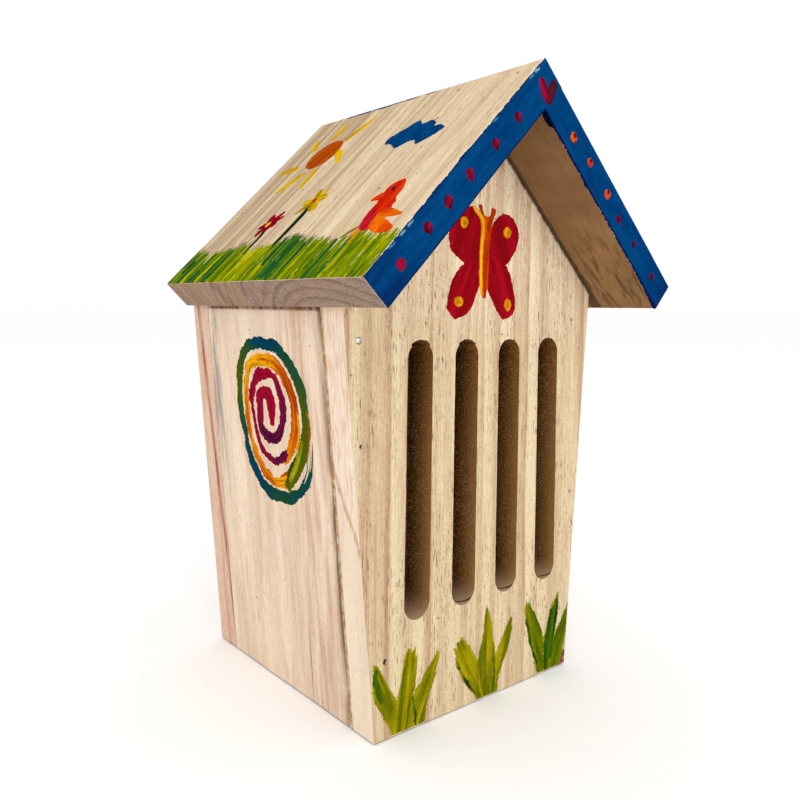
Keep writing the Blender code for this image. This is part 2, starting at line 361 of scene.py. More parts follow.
def side_marks(g, spot, normal, colour):
    """Painted grey shade along the side walls' front joints, grey handling marks near their back edges, a
    few long brown streaks, and a painted shadow under the eaves.
    """
    _, y, z = g.axes(spot)
    blotch = g.noise(spot, (0.5, 0.5, 0.035), 3.0)
    streak = g.noise(spot, (0.3, 0.42, 0.008), 3.0).ramp((0.42, 0.0), (0.62, 0.75))
    # Painted shade: grey along the walls' front ends, where the open joint to the front board lies in
    # shadow.
    joint = y.band(FRONT_INNER - 1, FRONT_INNER + 2.2, 1.0)
    colour = g.mix(joint * blotch.ramp((0.32, 0.1), (0.6, 0.85)), colour, "7d6a5c")
    colour = g.mix(y.band(FRONT_INNER, FRONT_INNER + 24, 8.0) * streak, colour, "c79f88")
    line = y.band(FRONT_INNER + 20.5, FRONT_INNER + 21.2, 0.3) * z.band(4.0, 24.0, 6.0)
    colour = g.mix(line * 0.7, colour, "7a5a4a")
    smear = y.band(BACK_INNER - 7.0, BACK_INNER + 2.0, 1.5) * z.band(72.0, 150.0, 22.0)
    colour = g.mix(smear * blotch.ramp((0.4, 0.0), (0.62, 0.8)), colour, "8f8a88")
    # Painted shadow: brown along the walls' tops, under the eaves.
    eave_shadow = z.band(131.2, 160.0, 0.4) * blotch.ramp((0.3, 0.5), (0.6, 1.0))
    return g.mix(eave_shadow, colour, "6e4436")


def back_marks(g, spot, normal, colour):
    """The back board's red streak, which slants across its edge."""
    _, y, z = g.axes(spot)
    worn = g.noise(spot, (0.6, 0.6, 0.03), 3.0).ramp((0.3, 0.3), (0.6, 1.0))
    streak = (y - z * 0.07 - (BACK_INNER - 1.5)).band(-1.2, 1.0, 0.7)
    return g.mix(streak * worn, colour, "9c5a44")


def roof_marks(g, spot, normal, colour):
    """Weathered streaks that run down the slope, more of them towards the back, and a painted highlight on
    the bare wood along the front arris.
    """
    y = g.axes(spot)[1]
    broad = g.noise(spot, (0.006, 0.12, 0.006)).ramp((0.45, 0.0), (0.58, 0.75))
    run = g.noise(spot, (0.008, 0.75, 0.008), 3.0).ramp((0.5, 0.0), (0.66, 0.8))
    back = y.rise(-45.0, 50.0, 0.12, 1.0)
    colour = g.mix(broad * back, colour, "ae9176")
    colour = g.mix(run * back, colour, "886c54")
    colour = g.mix(y.rise(15.0, 62.0, 0.0, 0.25), colour, "927a60")
    # Painted highlight: near white along the front arris, over bare wood.
    arris_highlight = y.rise(ROOF_FRONT_Y + 0.6, ROOF_FRONT_Y + 0.9, 1.0, 0.0)
    return g.mix(arris_highlight * 0.85, colour, "fff4e2")


def underside_shade(g, spot, normal, colour):
    """Painted shade under the right roof board: faces that look down get a dark brown tone under its pale
    top, darker towards the ridge, with a painted shadow line where it meets the front board.
    """
    x, y, _ = g.axes(spot)
    cloud = g.noise(spot, (0.05, 0.03, 0.05), 3.0).ramp((0.35, 0.0), (0.65, 1.0))
    grain = g.noise(spot, (0.12, 0.55, 0.12), 4.0).ramp((0.5, 0.0), (0.64, 1.0))
    ragged = g.noise(spot, 0.6, 3.0) * 1.6 + (FRONT_Y - 2.2)
    # Painted shade: the dark brown tone that the downward faces take.
    tone = g.mix(cloud, "96704a", "7c5836")
    tone = g.mix(grain * x.rise(25.0, 50.0, 0.08, 0.8), tone, "4e3420")
    # Painted shade: darker towards the ridge, deep under the roof.
    tone = g.mix(x.rise(4.0, 32.0, 0.35, 0.0), tone, "5a3e26")
    # Painted shadow: a dark ragged line where the underside meets the front board.
    joint = g.math("GREATER_THAN", y, ragged) * y.band(-90.0, FRONT_Y + 3.0, 0.3)
    tone = g.mix(joint * 0.75, tone, "2e1a0c")
    return g.mix(g.facing(normal, (-ROOT_HALF, 0.0, -ROOT_HALF)) * 0.92, colour, tone)


def routed_wood_and_shade():
    """Slot walls: scorched by the router, with painted shade that darkens them inwards and upwards, a
    painted highlight at the foot, and a painted shadow line across the foot.
    """
    g = Graph("slot_wall")
    spot = g.place()
    x, y, height = g.axes(spot)
    inward = y - FRONT_Y
    level = height.rise(SLOT_BOTTOM, SLOT_TOP)
    fuzz = g.noise(spot, (1.1, 1.1, 2.4), 3.0)
    streak = g.noise(spot, (1.2, 1.2, 0.08))
    # Painted shade: darker inwards and, by the ramp below, upwards, over the router's scorch.
    depth = (streak - 0.5) * 0.6 + inward.rise(1.0, 10.5)
    low, high = g.mix(depth, "a27a48", "5c3810"), g.mix(depth, "865824", "3c1a02")
    colour = g.mix(level.ramp((0.0, 0.0), (0.12, 0.3), (0.6, 0.5), (1.0, 1.0)), low, high)
    # Painted highlight: pale at the foot, where light falls on the slot's rounded end.
    colour = g.mix(level.ramp((0.0, 0.45), (0.03, 0.14), (0.07, 0.0)), colour, "d8c0a0")
    colour = g.mix(fuzz.ramp((0.51, 0.0), (0.68, 0.55)), colour, "c09a68")
    across = g.math("WRAP", x - SLOT_MIDDLES[0], SLOT_PITCH / 2, -SLOT_PITCH / 2)
    # Painted shadow: a dark line across the foot of every slot but the first.
    foot_shadow_line = (inward + across).band(2.6, 3.5, 0.4) * height.band(0.0, SLOT_BOTTOM + 2.2, 0.5)
    past_first = g.math("GREATER_THAN", x, SLOT_MIDDLES[0] + SLOT_PITCH / 2)
    colour = g.mix(foot_shadow_line * past_first, colour, "1c0e04")
    return g.finish(colour, 0.9, fuzz, 0.0003, 0.8)


def pin_metal(name, clean, worn, shine, metallic):
    g = Graph(name)
    smudge = g.noise(g.place(), 1.6, 4.0)
    colour = g.mix(smudge.ramp((0.4, 0.0), (0.7, 1.0)), clean, worn)
    return g.finish(colour, smudge * 0.35 + shine, smudge, 0.00004, 0.5, specular=0.5, metallic=metallic)


def brushed_paint():
    """Acrylic laid on by brush: the film carries its colour, the nodes its unevenness and sheen."""
    g = Graph("acrylic")
    tint = g.node("Attribute", settings={"attribute_name": "paint"})
    cloud, fine = g.noise(g.place(), 0.5, 4.0), g.noise(g.place(), 3.5)
    colour = g.mix(cloud.ramp((0.35, 0.0), (0.7, 0.25)), tint, (0.3, 0.3, 0.3), "MULTIPLY")
    colour = g.mix(fine.ramp((0.5, 0.0), (0.8, 0.2)), colour, tint, "ADD")
    return g.finish(colour, cloud * 0.25 + 0.4, fine, 0.00003, 0.6)


# ---------------------------------------------------------------- meshes


def add_piece(name, mesh, materials, nodes=()):
    """A piece of the house that rides with it, in the given finishes, hiding the CAD nodes it stands for.
    """
    piece = add_object(name, mesh)
    for finish in materials:
        mesh.materials.append(finish)
    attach(piece, "root")
    if nodes:
        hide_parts(*nodes)
    return piece


def resampled(corners, step=STEP):
    """The closed outline's corners, with points between them about a step apart."""
    points = []
    for start, end in zip(corners, corners[1:] + corners[:1]):
        count = max(1, round(math.dist(start, end) / step))
        points += [tuple(np.array(start) + (np.array(end) - start) * i / count) for i in range(count)]
    return points


def wall_point(side, inset, height):
    """A point (x, z) inside a side wall's outer face by inset, at a height."""
    foot = np.array(FOOT[side])
    along = unit(np.array(EAVE[side]) - foot)
    start = foot + np.array((-side * along[1], side * along[0])) * inset
    return tuple(start + along * (height - start[1]) / along[1])


def wall_top(side, inset):
    """Where that inset line meets the underside of the roof."""
    x0, z0 = wall_point(side, inset, 0.0)
    x1, z1 = wall_point(side, inset, 100.0)
    travel = (PEAK - side * x0 - z0) / (z1 - z0 + side * (x1 - x0))
    return x0 + (x1 - x0) * travel, z0 + (z1 - z0) * travel


def slot_outline(middle, seed, raised):
    """A routed slot with round ends and torn fibres at its top, which leans and may be longer."""
    radius = SLOT_WIDTH / 2
    arc_steps, tear_depth, chatter, wobble = 44, 1.4, 0.07, 0.14
    points = []
    for centre, start in ((SLOT_TOP - radius, 0.0), (SLOT_BOTTOM + radius, math.pi)):
        for step in range(arc_steps + 1):
            angle = start + math.pi * step / arc_steps
            tear = 0.0
            if start == 0.0 and 0.25 < step / arc_steps < 0.75:
                tear = raised + tear_depth * max(0.0, float(noise(step / 1.3, 0.5, seed)) - 0.55)
            reach = radius + tear + chatter * (float(noise(step / 1.1, 3.5, seed)) - 0.5)
            points.append((middle + reach * math.cos(angle), centre + reach * math.sin(angle)))
    half_way = (SLOT_BOTTOM + SLOT_TOP) / 2
    return [(x + SLOT_LEAN * (z - half_way) + wobble * (float(noise(z / 1.7, x / 3, seed + 1)) - 0.5), z)
            for x, z in resampled(points, step=1.6)]


def plank(corners, y0, y1, y_step, holes=()):
    """A board: an outline in X and Z run from y0 to y1, with its edges eased."""
    bm = bmesh.new()
    levels = np.linspace(y0, y1, max(2, round((y1 - y0) / y_step) + 1))
    ends = ([], [])
    for loop in (resampled(corners), *holes):
        rings = [[bm.verts.new((x, y, z)) for x, z in loop] for y in levels]
        for near, far in zip(rings, rings[1:]):
            for i in range(len(loop)):
                bm.faces.new((near[i - 1], near[i], far[i], far[i - 1]))
        for end, ring in zip(ends, (rings[0], rings[-1])):
            end += [bm.edges.get((ring[i - 1], ring[i])) for i in range(len(ring))]
    for end in ends:
        bmesh.ops.triangle_fill(bm, use_beauty=True, edges=end)
    bmesh.ops.recalc_face_normals(bm, faces=bm.faces)
    sharp = [e for e in bm.edges if e.calc_face_angle() > math.radians(SHARP_ANGLE)]
    bmesh.ops.bevel(bm, geom=sharp, offset=EASE, segments=3, profile=0.5, affect="EDGES",
                    clamp_overlap=True)
    return bm


def finish_mesh(name, bm, smooth_angle=SMOOTH_ANGLE):
    """Warps the mesh, takes it to metres and shades it."""
    points = warp(np.array([v.co for v in bm.verts]))
    for vert, point in zip(bm.verts, points):
        vert.co = point * MM
    mesh = mesh_from(name, bm)
    mesh.shade_smooth()
    mesh.set_sharp_from_angle(angle=math.radians(smooth_angle))
    return mesh


# ---------------------------------------------------------------- pins

PIN_PROFILE = [(0, 0.0), (0.55, -0.03), (0.88, -0.1), (1.0, -0.24), (1.0, -0.42), (0.62, -0.7),
               (0.6, -22.6), (0.3, -24.0), (0, -24.6)]
DENT_PROFILE = [(0, 1.0), (1.2, 1.0), (1.2, 0.0), (1.06, -0.2), (1.03, -1.6), (0, -1.6)]
PIN_SIDES, DENT_SIDES = 28, 24
PIN_SMOOTH_ANGLE = 40
HEAD_DEPTH = 0.3     # the top of a CAD pin's head lies within this of its highest corner
BRIGHT_PINS = {"front_left_pin_3": 0.0, "back_left_pin_3": 0.05, "back_right_pin_1": 0.1}
SUNK = 0.4           # how deep the punched pins lie; for the bright ones it stands above
SMALL = 0.6          # a punched pin shows this much of its width
HALF_SUNK = {"front_left_pin_1": 0.85}


def pin_axis(node):
    """The head's centre and the direction it faces, from the CAD pin's own corners, in mm."""
    points = np.array([v.co for v in frame["nodes"][node].data.vertices]) / MM
    centre = points.mean(axis=0)
    axis = np.linalg.svd(points - centre)[2][0]
    height = (points - centre) @ axis
    away = np.linalg.norm(points - centre - np.outer(height, axis), axis=1)
    if height[away.argmax()] < 0:
        axis, height = -axis, -height
    return points[height > height.max() - HEAD_DEPTH].mean(axis=0), axis


def turned(profile, sides, node, sink):
    """A profile of (radius, height) turned into a body, with its height along the pin's axis."""
    bm = bmesh.new()
    rings = []
    for radius, height in profile:
        turn = np.arange(sides if radius else 1) * 2 * math.pi / sides
        rings.append([bm.verts.new((radius * math.cos(a), radius * math.sin(a), height)) for a in turn])
    for upper, lower in zip(rings, rings[1:]):
        for i in range(sides):
            j = (i + 1) % sides
            corners = [ring[k % len(ring)] for ring, k in ((upper, i), (upper, j), (lower, j), (lower, i))]
            bm.faces.new(list(dict.fromkeys(corners)))
    bmesh.ops.recalc_face_normals(bm, faces=bm.faces)
    centre, axis = pin_axis(node)
    size = 1.0 if node in BRIGHT_PINS else HALF_SUNK.get(node, SMALL)
    place = Matrix.Translation(Vector(centre - axis * (SKIN + sink)))
    place = place @ Vector(axis).to_track_quat("Z", "Y").to_matrix().to_4x4()
    bmesh.ops.transform(bm, matrix=place @ Matrix.Diagonal((size, size, 1, 1)), verts=bm.verts)
    return bm


def make_pins():
    """Most pins are punched below the face, dull and near black as painted shade for the holes they sit in;
    a few are flush and bright.
    """
    bright = pin_metal("bright_pin", "d6d9de", "8a8884", 0.1, 1.0)
    # Painted shade: the punched pins' metal is near black, standing in for the shade in their holes.
    dull = pin_metal("dull_pin", "1a1816", "0a0908", 0.45, 0.2)
    for node in PINS:
        bm = turned(PIN_PROFILE, PIN_SIDES, node, BRIGHT_PINS.get(node, SUNK))
        mesh = finish_mesh(node, bm, PIN_SMOOTH_ANGLE)
        metal = bright if node in BRIGHT_PINS else dull
        add_piece(node.replace("_pin_", "_panel_pin_"), mesh, [metal], [node])


def dent(board, *starts):
    """Sinks a small crater in the board round the head of each pin whose name starts so."""
    joined = bmesh.new()
    for node in PINS:
        if node.startswith(starts):
            mesh = mesh_from("dent", turned(DENT_PROFILE, DENT_SIDES, node, 0.0))
            joined.from_mesh(mesh)
            bpy.data.meshes.remove(mesh)
    cutter = add_object("dents", finish_mesh("dents", joined))
    modifier = board.modifiers.new("dents", "BOOLEAN")
    modifier.operation = "DIFFERENCE"
    modifier.solver = "EXACT"
    modifier.object = cutter
    mesh = bpy.data.meshes.new_from_object(board.evaluated_get(bpy.context.evaluated_depsgraph_get()))
    board.modifiers.clear()
    mesh.set_sharp_from_angle(angle=math.radians(SMOOTH_ANGLE))
    board.data = mesh
    bpy.data.objects.remove(cutter)


# ---------------------------------------------------------------- boards


def inset_outline(corners, inset):
    """A convex outline, pulled in by inset all round."""
    centre = np.mean(corners, axis=0)
    lines = []
    for start, end in zip(corners, corners[1:] + corners[:1]):
        start, end = np.array(start), np.array(end)
        along = unit(end - start)
        inward = np.array((-along[1], along[0]))
        inward *= np.sign(inward @ (centre - start))
        lines.append((start + inward * inset, along))
    points = []
    for (p, d), (q, e) in zip(lines[-1:] + lines[:-1], lines):
        travel = np.linalg.solve(np.array((d, -e)).T, q - p)[0]
        points.append(tuple(p + d * travel))
    return points


def slope_axes(side):
    """The directions down a roof slope, and out of its top face."""
    return (side * ROOT_HALF, 0, -ROOT_HALF), (side * ROOT_HALF, 0, ROOT_HALF)


def slope_point(side, down, out):
    """A point (x, z) on a roof slope: down from the ridge line, and out from the top face."""
    return (side * (down + out) * ROOT_HALF, RIDGE + (out - down) * ROOT_HALF)


def roof_outline(side):
    start = 0.0 if side == LEFT else BOARD + RIDGE_GAP
    corners = [(start, 0.0), (start, -BOARD), (ROOF_LENGTH, -BOARD), (ROOF_LENGTH, 0.0)]
    return [slope_point(side, down, out) for down, out in corners]


def open_joint(bm):
    """The left wall's front end bows back in its lower half, so its joint opens."""
    most, bottom, top, reach = 1.1, -6.0, 100.0, 2.0
    for vert in bm.verts:
        if vert.co.y < FRONT_INNER + FRONT_GAP + reach:
            rise = min(1.0, max(0.0, (vert.co.z - bottom) / (top - bottom)))
            vert.co.y += most * math.sin(math.pi * rise) ** 2


def make_gables():
    """The front and back boards, with the slots through the front one."""
    gable = [FOOT[LEFT], FOOT[RIGHT], EAVE[RIGHT], (0.0, PEAK), EAVE[LEFT]]
    pine = wood("front_pine", "e0ceaa", "a98260", (0.012, 0, 1), (-150, 25, 0), spacing=7.0, rings=0.55,
                stripes=0.42, dashes=0.85, wander=3.0, streaks=0.6, streak_tone="ac846a",
                dash_tone="785a40", marks=front_marks)
    slots = [slot_outline(middle, 40 + 3 * number, raised)
             for number, (middle, raised) in enumerate(zip(SLOT_MIDDLES, SLOT_RAISED))]
    bm = plank(gable, FRONT_Y, FRONT_INNER, 6.0, slots)
    for face in bm.faces:
        x, y, z = face.calc_center_median()
        deep_inside = FRONT_Y + RIM < y < FRONT_INNER - RIM
        in_slots = SLOT_BOTTOM - 1 < z < SLOT_TOP + 2 and abs(x - MIDDLE_X) < BASE_WIDTH / 2 - 0.5
        face.material_index = int(deep_inside and in_slots)
    mesh = finish_mesh("front_gable", bm)
    dent(add_piece("front_gable", mesh, [pine, routed_wood_and_shade()], ["front_board"]), "front_")

    pine = wood("back_pine", "e6ccb6", "c39274", (0.1, 0, 1), (-20, -35, 0), spacing=8.0, rings=0.55,
                stripes=0.4, dashes=0.35, wander=7.0, streaks=0.3, streak_tone="b07a62", marks=back_marks)
    mesh = finish_mesh("back_gable", plank(gable, BACK_INNER, BACK_Y, 6.0))
    dent(add_piece("back_gable", mesh, [pine], ["back_board"]), "back_")


def make_walls():
    """The two side walls and the floor between them."""
    wall_y = (FRONT_INNER + FRONT_GAP, BACK_INNER - BACK_GAP)
    pine = wood("side_pine", "f0dcc3", "d0ae92", (0.0, 0.03, 1), (-130, 10, 0), spacing=13.0, rings=0.25,
                dashes=0.2, wander=9.0, streaks=0.35, streak_tone="b5927e", marks=side_marks)
    for side, name in ((LEFT, "left_side"), (RIGHT, "right_side")):
        corners = [wall_point(side, 0.0, 0.0), wall_top(side, 0.0), wall_top(side, BOARD),
                   wall_point(side, BOARD, 0.0)]
        bm = plank(corners, *wall_y, 5.0)
        if side == LEFT:
            open_joint(bm)
        add_piece(f"{name}_wall", finish_mesh(name, bm), [pine], [f"{name}_board"])

    inset = BOARD + FLOOR_GAP
    corners = [wall_point(LEFT, inset, 0.0), wall_point(RIGHT, inset, 0.0),
               wall_point(RIGHT, inset, BOARD), wall_point(LEFT, inset, BOARD)]
    pine = wood("floor_pine", "e0c8a8", "b99268", (0, 1, 0.02), (10, 0, -40), spacing=7.0)
    mesh = finish_mesh("floor_panel", plank(corners, *wall_y, 8.0))
    add_piece("floor_panel", mesh, [pine], ["floor_board"])


def make_roof():
    """The two roof boards, of which the left one covers the ridge."""
    # The roof boards' end cuts take a darker end_tone: end grain, with painted shade for the eave ends that
    # face down.
    left = wood("left_roof_pine", "e6d2b2", "b8976e", (-1, 0.02, -1), (-4, -35, 143), spacing=4.2,
                rings=0.4, stripes=0.35, streaks=0.5, wander=3.0, streak_tone="8c745a",
                end_tone="957a70", marks=roof_marks)
    right = wood("right_roof_pine", "dfcaa8", "b28e64", (1, 0.03, -1), (20, 90, 120), spacing=6.5,
                 dashes=0.5, streaks=0.6, wander=6.0, end_tone="957a70", marks=underside_shade)
    for side, name, pine, pins in ((LEFT, "left_roof", left, ("left_roof", "ridge")),
                                   (RIGHT, "right_roof", right, ("right_roof",))):
        bm = plank(inset_outline(roof_outline(side), SKIN), ROOF_FRONT_Y + SKIN, ROOF_BACK_Y - SKIN, 4.0)
        roof = add_piece(f"{name}_panel", finish_mesh(name, bm), [pine], [f"{name}_board"])
        dent(roof, *pins)


# ---------------------------------------------------------------- paint

CELL = 0.3           # grid spacing on a canvas
BARE = -9.0          # a canvas's cover where there is no paint
EVERYWHERE = np.s_[:, :]
EMBED = 0.05         # a film's underside lies this deep in the wood
THINNEST = 0.015
CURVE_STEP = 0.33    # spacing of points along a smooth path
BRISTLE = 0.3        # width of one bristle's track
FADE = 0.16          # paint thins out over this width at its edge, over what lies below
BEAD = 0.35          # paint heaps up within this of its edge
WOOD_SHOW = linear("dcc59c")


class Surface:
    """A face to paint, which may wrap round eased corners.

    A canvas point (v, u) lies v along the axis ahead, and u along a path of (p, q) corners in
    the plane of the axes across and out.
    """

    def __init__(self, origin, ahead, across, out, path):
        self.origin, self.ahead, self.across, self.out = (np.array(a, float)
                                                          for a in (origin, ahead, across, out))
        corners = [np.array(p, float) for p in path]
        points = [corners[0]]
        for before, corner, after in zip(corners, corners[1:], corners[2:]):
            enter, leave = unit(before - corner), unit(after - corner)
            middle = corner + (enter + leave) * EASE
            for turn in np.linspace(0, math.pi / 2, 9):
                points.append(middle - leave * EASE * math.cos(turn) - enter * EASE * math.sin(turn))
        points.append(corners[-1])
        self.points = np.array(points)
        self.length = travelled(self.points)
        self.middles = (self.length[1:] + self.length[:-1]) / 2
        tangent = np.diff(self.points, axis=0) / np.diff(self.length)[:, None]
        self.normals = np.stack((-tangent[:, 1], tangent[:, 0]), axis=1)

    def at(self, v, u, height):
        p, q = (np.interp(u, self.length, self.points[:, i]) for i in (0, 1))
        across, out = (np.interp(u, self.middles, self.normals[:, i]) for i in (0, 1))
        p, q = p + across * height, q + out * height
        sideways = p[..., None] * self.across + q[..., None] * self.out
        return self.origin + v[..., None] * self.ahead + sideways

    def flips(self):
        return np.linalg.det((self.ahead, self.across, self.out)) < 0


def smooth_path(points, closed=False):
    """Points close together on a smooth curve through the given ones."""
    points = np.array(points, float)
    if closed:
        ring = np.concatenate((points[-1:], points, points[:2]))
    else:
        ring = np.array((2 * points[0] - points[1], *points, 2 * points[-1] - points[-2]))
    made = []
    for a, b, c, d in zip(ring, ring[1:], ring[2:], ring[3:]):
        count = max(2, round(np.linalg.norm(c - b) / CURVE_STEP))
        t = (np.arange(count) / count)[:, None]
        made.append(0.5 * (2 * b + (c - a) * t + (2 * a - 5 * b + 4 * c - d) * t ** 2
                           + (3 * b - a - 3 * c + d) * t ** 3))
    if not closed:
        made.append(points[-1:])
    return np.concatenate(made)


class Canvas:
    """A grid of paint over part of a surface: how far inside the paint's edge, how thick, what colour.

    Tones are display codes in one string, from the stroke's first tone to its last.
    """

    def __init__(self, surface, low, high):
        self.surface = surface
        self.low = np.array(low, float)
        counts = np.ceil((np.array(high) - self.low) / CELL).astype(int) + 1
        v, u = (self.low[i] + CELL * np.arange(counts[i]) for i in (0, 1))
        self.v, self.u = np.meshgrid(v, u, indexing="ij")
        self.cover = np.full(self.v.shape, BARE)
        self.height = np.zeros(self.v.shape)
        self.colour = np.zeros((*self.v.shape, 3))

    def area(self, path, margin):
        """The part of the grid that lies within a margin of a path."""
        low, high = path.min(axis=0) - margin, path.max(axis=0) + margin
        first = np.maximum(np.floor((low - self.low) / CELL).astype(int), 0)
        last = np.minimum(np.ceil((high - self.low) / CELL).astype(int) + 1, self.v.shape)
        return (slice(first[0], last[0]), slice(first[1], last[1])) if (last > first).all() else None

    def lay(self, area, inside, along, aside, tones, seed, thick, blend=None, thin=0.0, streak=0.5):
        """Adds paint, streaked by the bristles, over what is there."""
        bristle = (0.65 * noise(aside / BRISTLE, along / 8, seed)
                   + 0.35 * noise(aside / (BRISTLE / 2), along / 3, seed + 1))
        if blend is None:
            blend = noise(aside / 1.6, along / 14, seed + 2) * 1.5 - 0.25
        tones = np.array([linear(code) for code in tones.split()])
        blend = np.clip(blend + streak * (bristle - 0.5), 0, 1) * (len(tones) - 1)
        tone = np.stack([np.interp(blend, np.arange(len(tones)), tones[:, i]) for i in range(3)], axis=-1)
        tone = tone * (1 + streak * (bristle - 0.5))[..., None]
        see_through = np.clip(thin * (0.9 - 2 * bristle), 0, 1)[..., None]
        tone = tone * (1 - see_through) + np.array(WOOD_SHOW) * see_through
        bead = 0.5 * np.exp(-(inside / BEAD) ** 2)
        rise = thick * (0.35 + 0.75 * bristle + bead) * np.clip(inside / 0.3, 0, 1)
        alpha = np.clip(inside / FADE + 0.5, 0, 1)
        under, near = self.cover[area] > 0, inside > -2 * CELL
        kept = np.where(under, 1 - alpha, ~near)
        self.colour[area] = (self.colour[area] * kept[..., None]
                             + tone * (np.where(under, alpha, 1) * near)[..., None])
        self.height[area] = np.maximum(self.height[area] * (1 - 0.55 * alpha) + rise * alpha, 0)
        self.cover[area] = np.maximum(self.cover[area], inside)

    def stroke(self, points, width, tones, seed, widths=(0.75, 1.0, 1.0, 0.6), dry=0.8, gaps=0.0,
               thick=0.1, blend_along=None, thin=0.0, streak=0.5, rough=0.25):
        """One pull of the brush along a smooth path."""
        path = smooth_path(points)
        area = self.area(path, width * max(widths) / 2 + dry + 1)
        if area is None:
            return
        v, u = self.v[area], self.u[area]
        nearest = np.zeros(v.shape, int)
        best = np.full(v.shape, 1e9)
        for index, (pv, pu) in enumerate(path):
            away = (v - pv) ** 2 + (u - pu) ** 2
            closer = away < best
            best[closer] = away[closer]
            nearest[closer] = index
        run, gone = travelled(path), travelled(np.array(points, float))
        tangent = np.gradient(path, axis=0)
        tangent /= np.linalg.norm(tangent, axis=1)[:, None] + 1e-9
        off = np.stack((v, u), axis=-1) - path[nearest]
        along = run[nearest] + (off * tangent[nearest]).sum(axis=-1)
        aside = off[..., 1] * tangent[nearest, 0] - off[..., 0] * tangent[nearest, 1]
        t = np.clip(along / run[-1], 0, 1)
        half = width / 2 * np.interp(t, self.spread(widths, gone), widths)
        for left, end_width in ((along, widths[0]), (run[-1] - along, widths[-1])):
            radius = 0.5 * width * end_width + 1e-6
            half = half * np.sqrt(1 - (1 - np.clip((left + 0.5 * radius) / radius, 0, 1)) ** 2)
        edge = rough * (noise(along / 0.8, np.sign(aside) * 3.3, seed + 3) - 0.5)
        edge += 1.4 * rough * (noise(along / 3.0, np.sign(aside) * 5.7, seed + 4) - 0.5)
        tip = run[-1] - along + width * 0.2 - noise(aside / BRISTLE, 0.5, seed + 5) * dry
        tail = along + width * 0.2 - noise(aside / BRISTLE, 9.5, seed + 6) * dry * 0.5
        inside = np.minimum(half - np.abs(aside) + edge, np.minimum(tail, tip))
        if gaps:
            track = noise(aside / BRISTLE, along / 11, seed + 7)
            worn = gaps * np.clip((t - 0.45) / 0.5, 0, 1) ** 1.5
            inside = np.minimum(inside, (track - worn) * 0.8 + 0.05)
        blend = None
        if blend_along is not None:
            blend = np.interp(t, self.spread(blend_along, gone), blend_along)
        self.lay(area, inside, along, aside, tones, seed, thick, blend, thin, streak)

    @staticmethod
    def spread(values, gone):
        """Where along a stroke its values apply: at its points, if each point has one, or evenly."""
        return gone / gone[-1] if len(values) == len(gone) else np.linspace(0, 1, len(values))

    def ribbon(self, stations, tones, seed, **how):
        """A stroke through (v, u, width, blend) stations, where blend runs from 0 to 1 over the tones."""
        v, u, widths, blends = zip(*stations)
        self.stroke(list(zip(v, u)), 1.0, tones, seed, widths=widths, blend_along=blends, **how)

    def clip(self, inside):
        """Keeps the paint to where inside is above zero."""
        self.cover = np.minimum(self.cover, inside)

    def dab(self, centre, wide, tall, tones, seed, thick=0.15):
        """A small blob."""
        self.patch(around(centre, wide, tall), 70, tones, seed, thick=thick, rough=0.45, streak=0.6)

    def patch(self, outline, heading, tones, seed, thick=0.1, rough=0.3, ragged=0.0, comb=0.45,
              streak=0.3, grain=0.9, grow=0.0):
        """A filled shape, brushed along a heading in degrees, with an edge that may be ragged that way."""
        loop = smooth_path(outline, closed=True)
        area = self.area(loop, 2 + ragged)
        v, u = self.v[area], self.u[area]
        turn = math.radians(heading)
        along, aside = v * math.cos(turn) + u * math.sin(turn), u * math.cos(turn) - v * math.sin(turn)
        push = ragged * (noise(aside / comb, 1.5, seed + 8) - 0.5)
        v, u = v + push * math.cos(turn), u + push * math.sin(turn)
        best = np.full(v.shape, 1e9)
        within = np.zeros(v.shape, bool)
        for (av, au), (bv, bu) in zip(loop, np.roll(loop, -1, axis=0)):
            best = np.minimum(best, (v - av) ** 2 + (u - au) ** 2)
            if au != bu:
                within ^= ((au > u) != (bu > u)) & (v < (bv - av) * (u - au) / (bu - au) + av)
        inside = np.where(within, np.sqrt(best), -np.sqrt(best)) + grow
        inside += rough * (noise(v / grain, u / grain, seed + 9) - 0.5)
        self.lay(area, inside, along, aside, tones, seed, thick, streak=streak)

    def film(self, name, finish, lift=0.0):
        """Turns the paint into a thin closed skin on its surface."""
        cover = self.cover
        rows, columns = cover.shape
        painted = cover > 0
        cells = painted[:-1, :-1] | painted[1:, :-1] | painted[:-1, 1:] | painted[1:, 1:]
        used = np.zeros(cover.shape, bool)
        for i, j in np.ndindex(2, 2):
            used[i:rows - 1 + i, j:columns - 1 + j] |= cells
        shift, count = np.zeros((rows, columns, 2)), np.zeros(cover.shape)
        framed = np.pad(cover, 1, constant_values=BARE)
        for i, j in np.ndindex(3, 3):
            other = framed[i:rows + i, j:columns + j]
            pulls = ~painted & (other > 0)
            travel = np.where(pulls, -cover / np.maximum(other - cover, 1e-6), 0)
            shift += np.minimum(travel, 0.92)[..., None] * (i - 1, j - 1)
            count += pulls
        shift *= CELL / np.maximum(count, 1)[..., None]
        v, u = self.v + shift[..., 0], self.u + shift[..., 1]
        top = np.where(painted, np.maximum(self.height, THINNEST) + lift, -EMBED)
        upper = np.full(cover.shape, -1)
        upper[used] = np.arange(used.sum())
        lower = upper.copy()
        lower[painted] = used.sum() + np.arange(painted.sum())
        bottom = np.full(painted.sum(), -2 * EMBED)
        points = np.concatenate((self.surface.at(v[used], u[used], top[used]),
                                 self.surface.at(v[painted], u[painted], bottom)))
        i, j = np.nonzero(cells)
        square = [(i, j), (i + 1, j), (i + 1, j + 1), (i, j + 1)]
        step = -1 if self.surface.flips() else 1
        faces = np.concatenate((np.stack([upper[corner] for corner in square[::step]], axis=1),
                                np.stack([lower[corner] for corner in square[::-step]], axis=1)))
        mesh = bpy.data.meshes.new(name)
        mesh.from_pydata(warp(points) * MM, [], faces.tolist())
        mesh.update()
        colours = np.ones((len(points), 4))
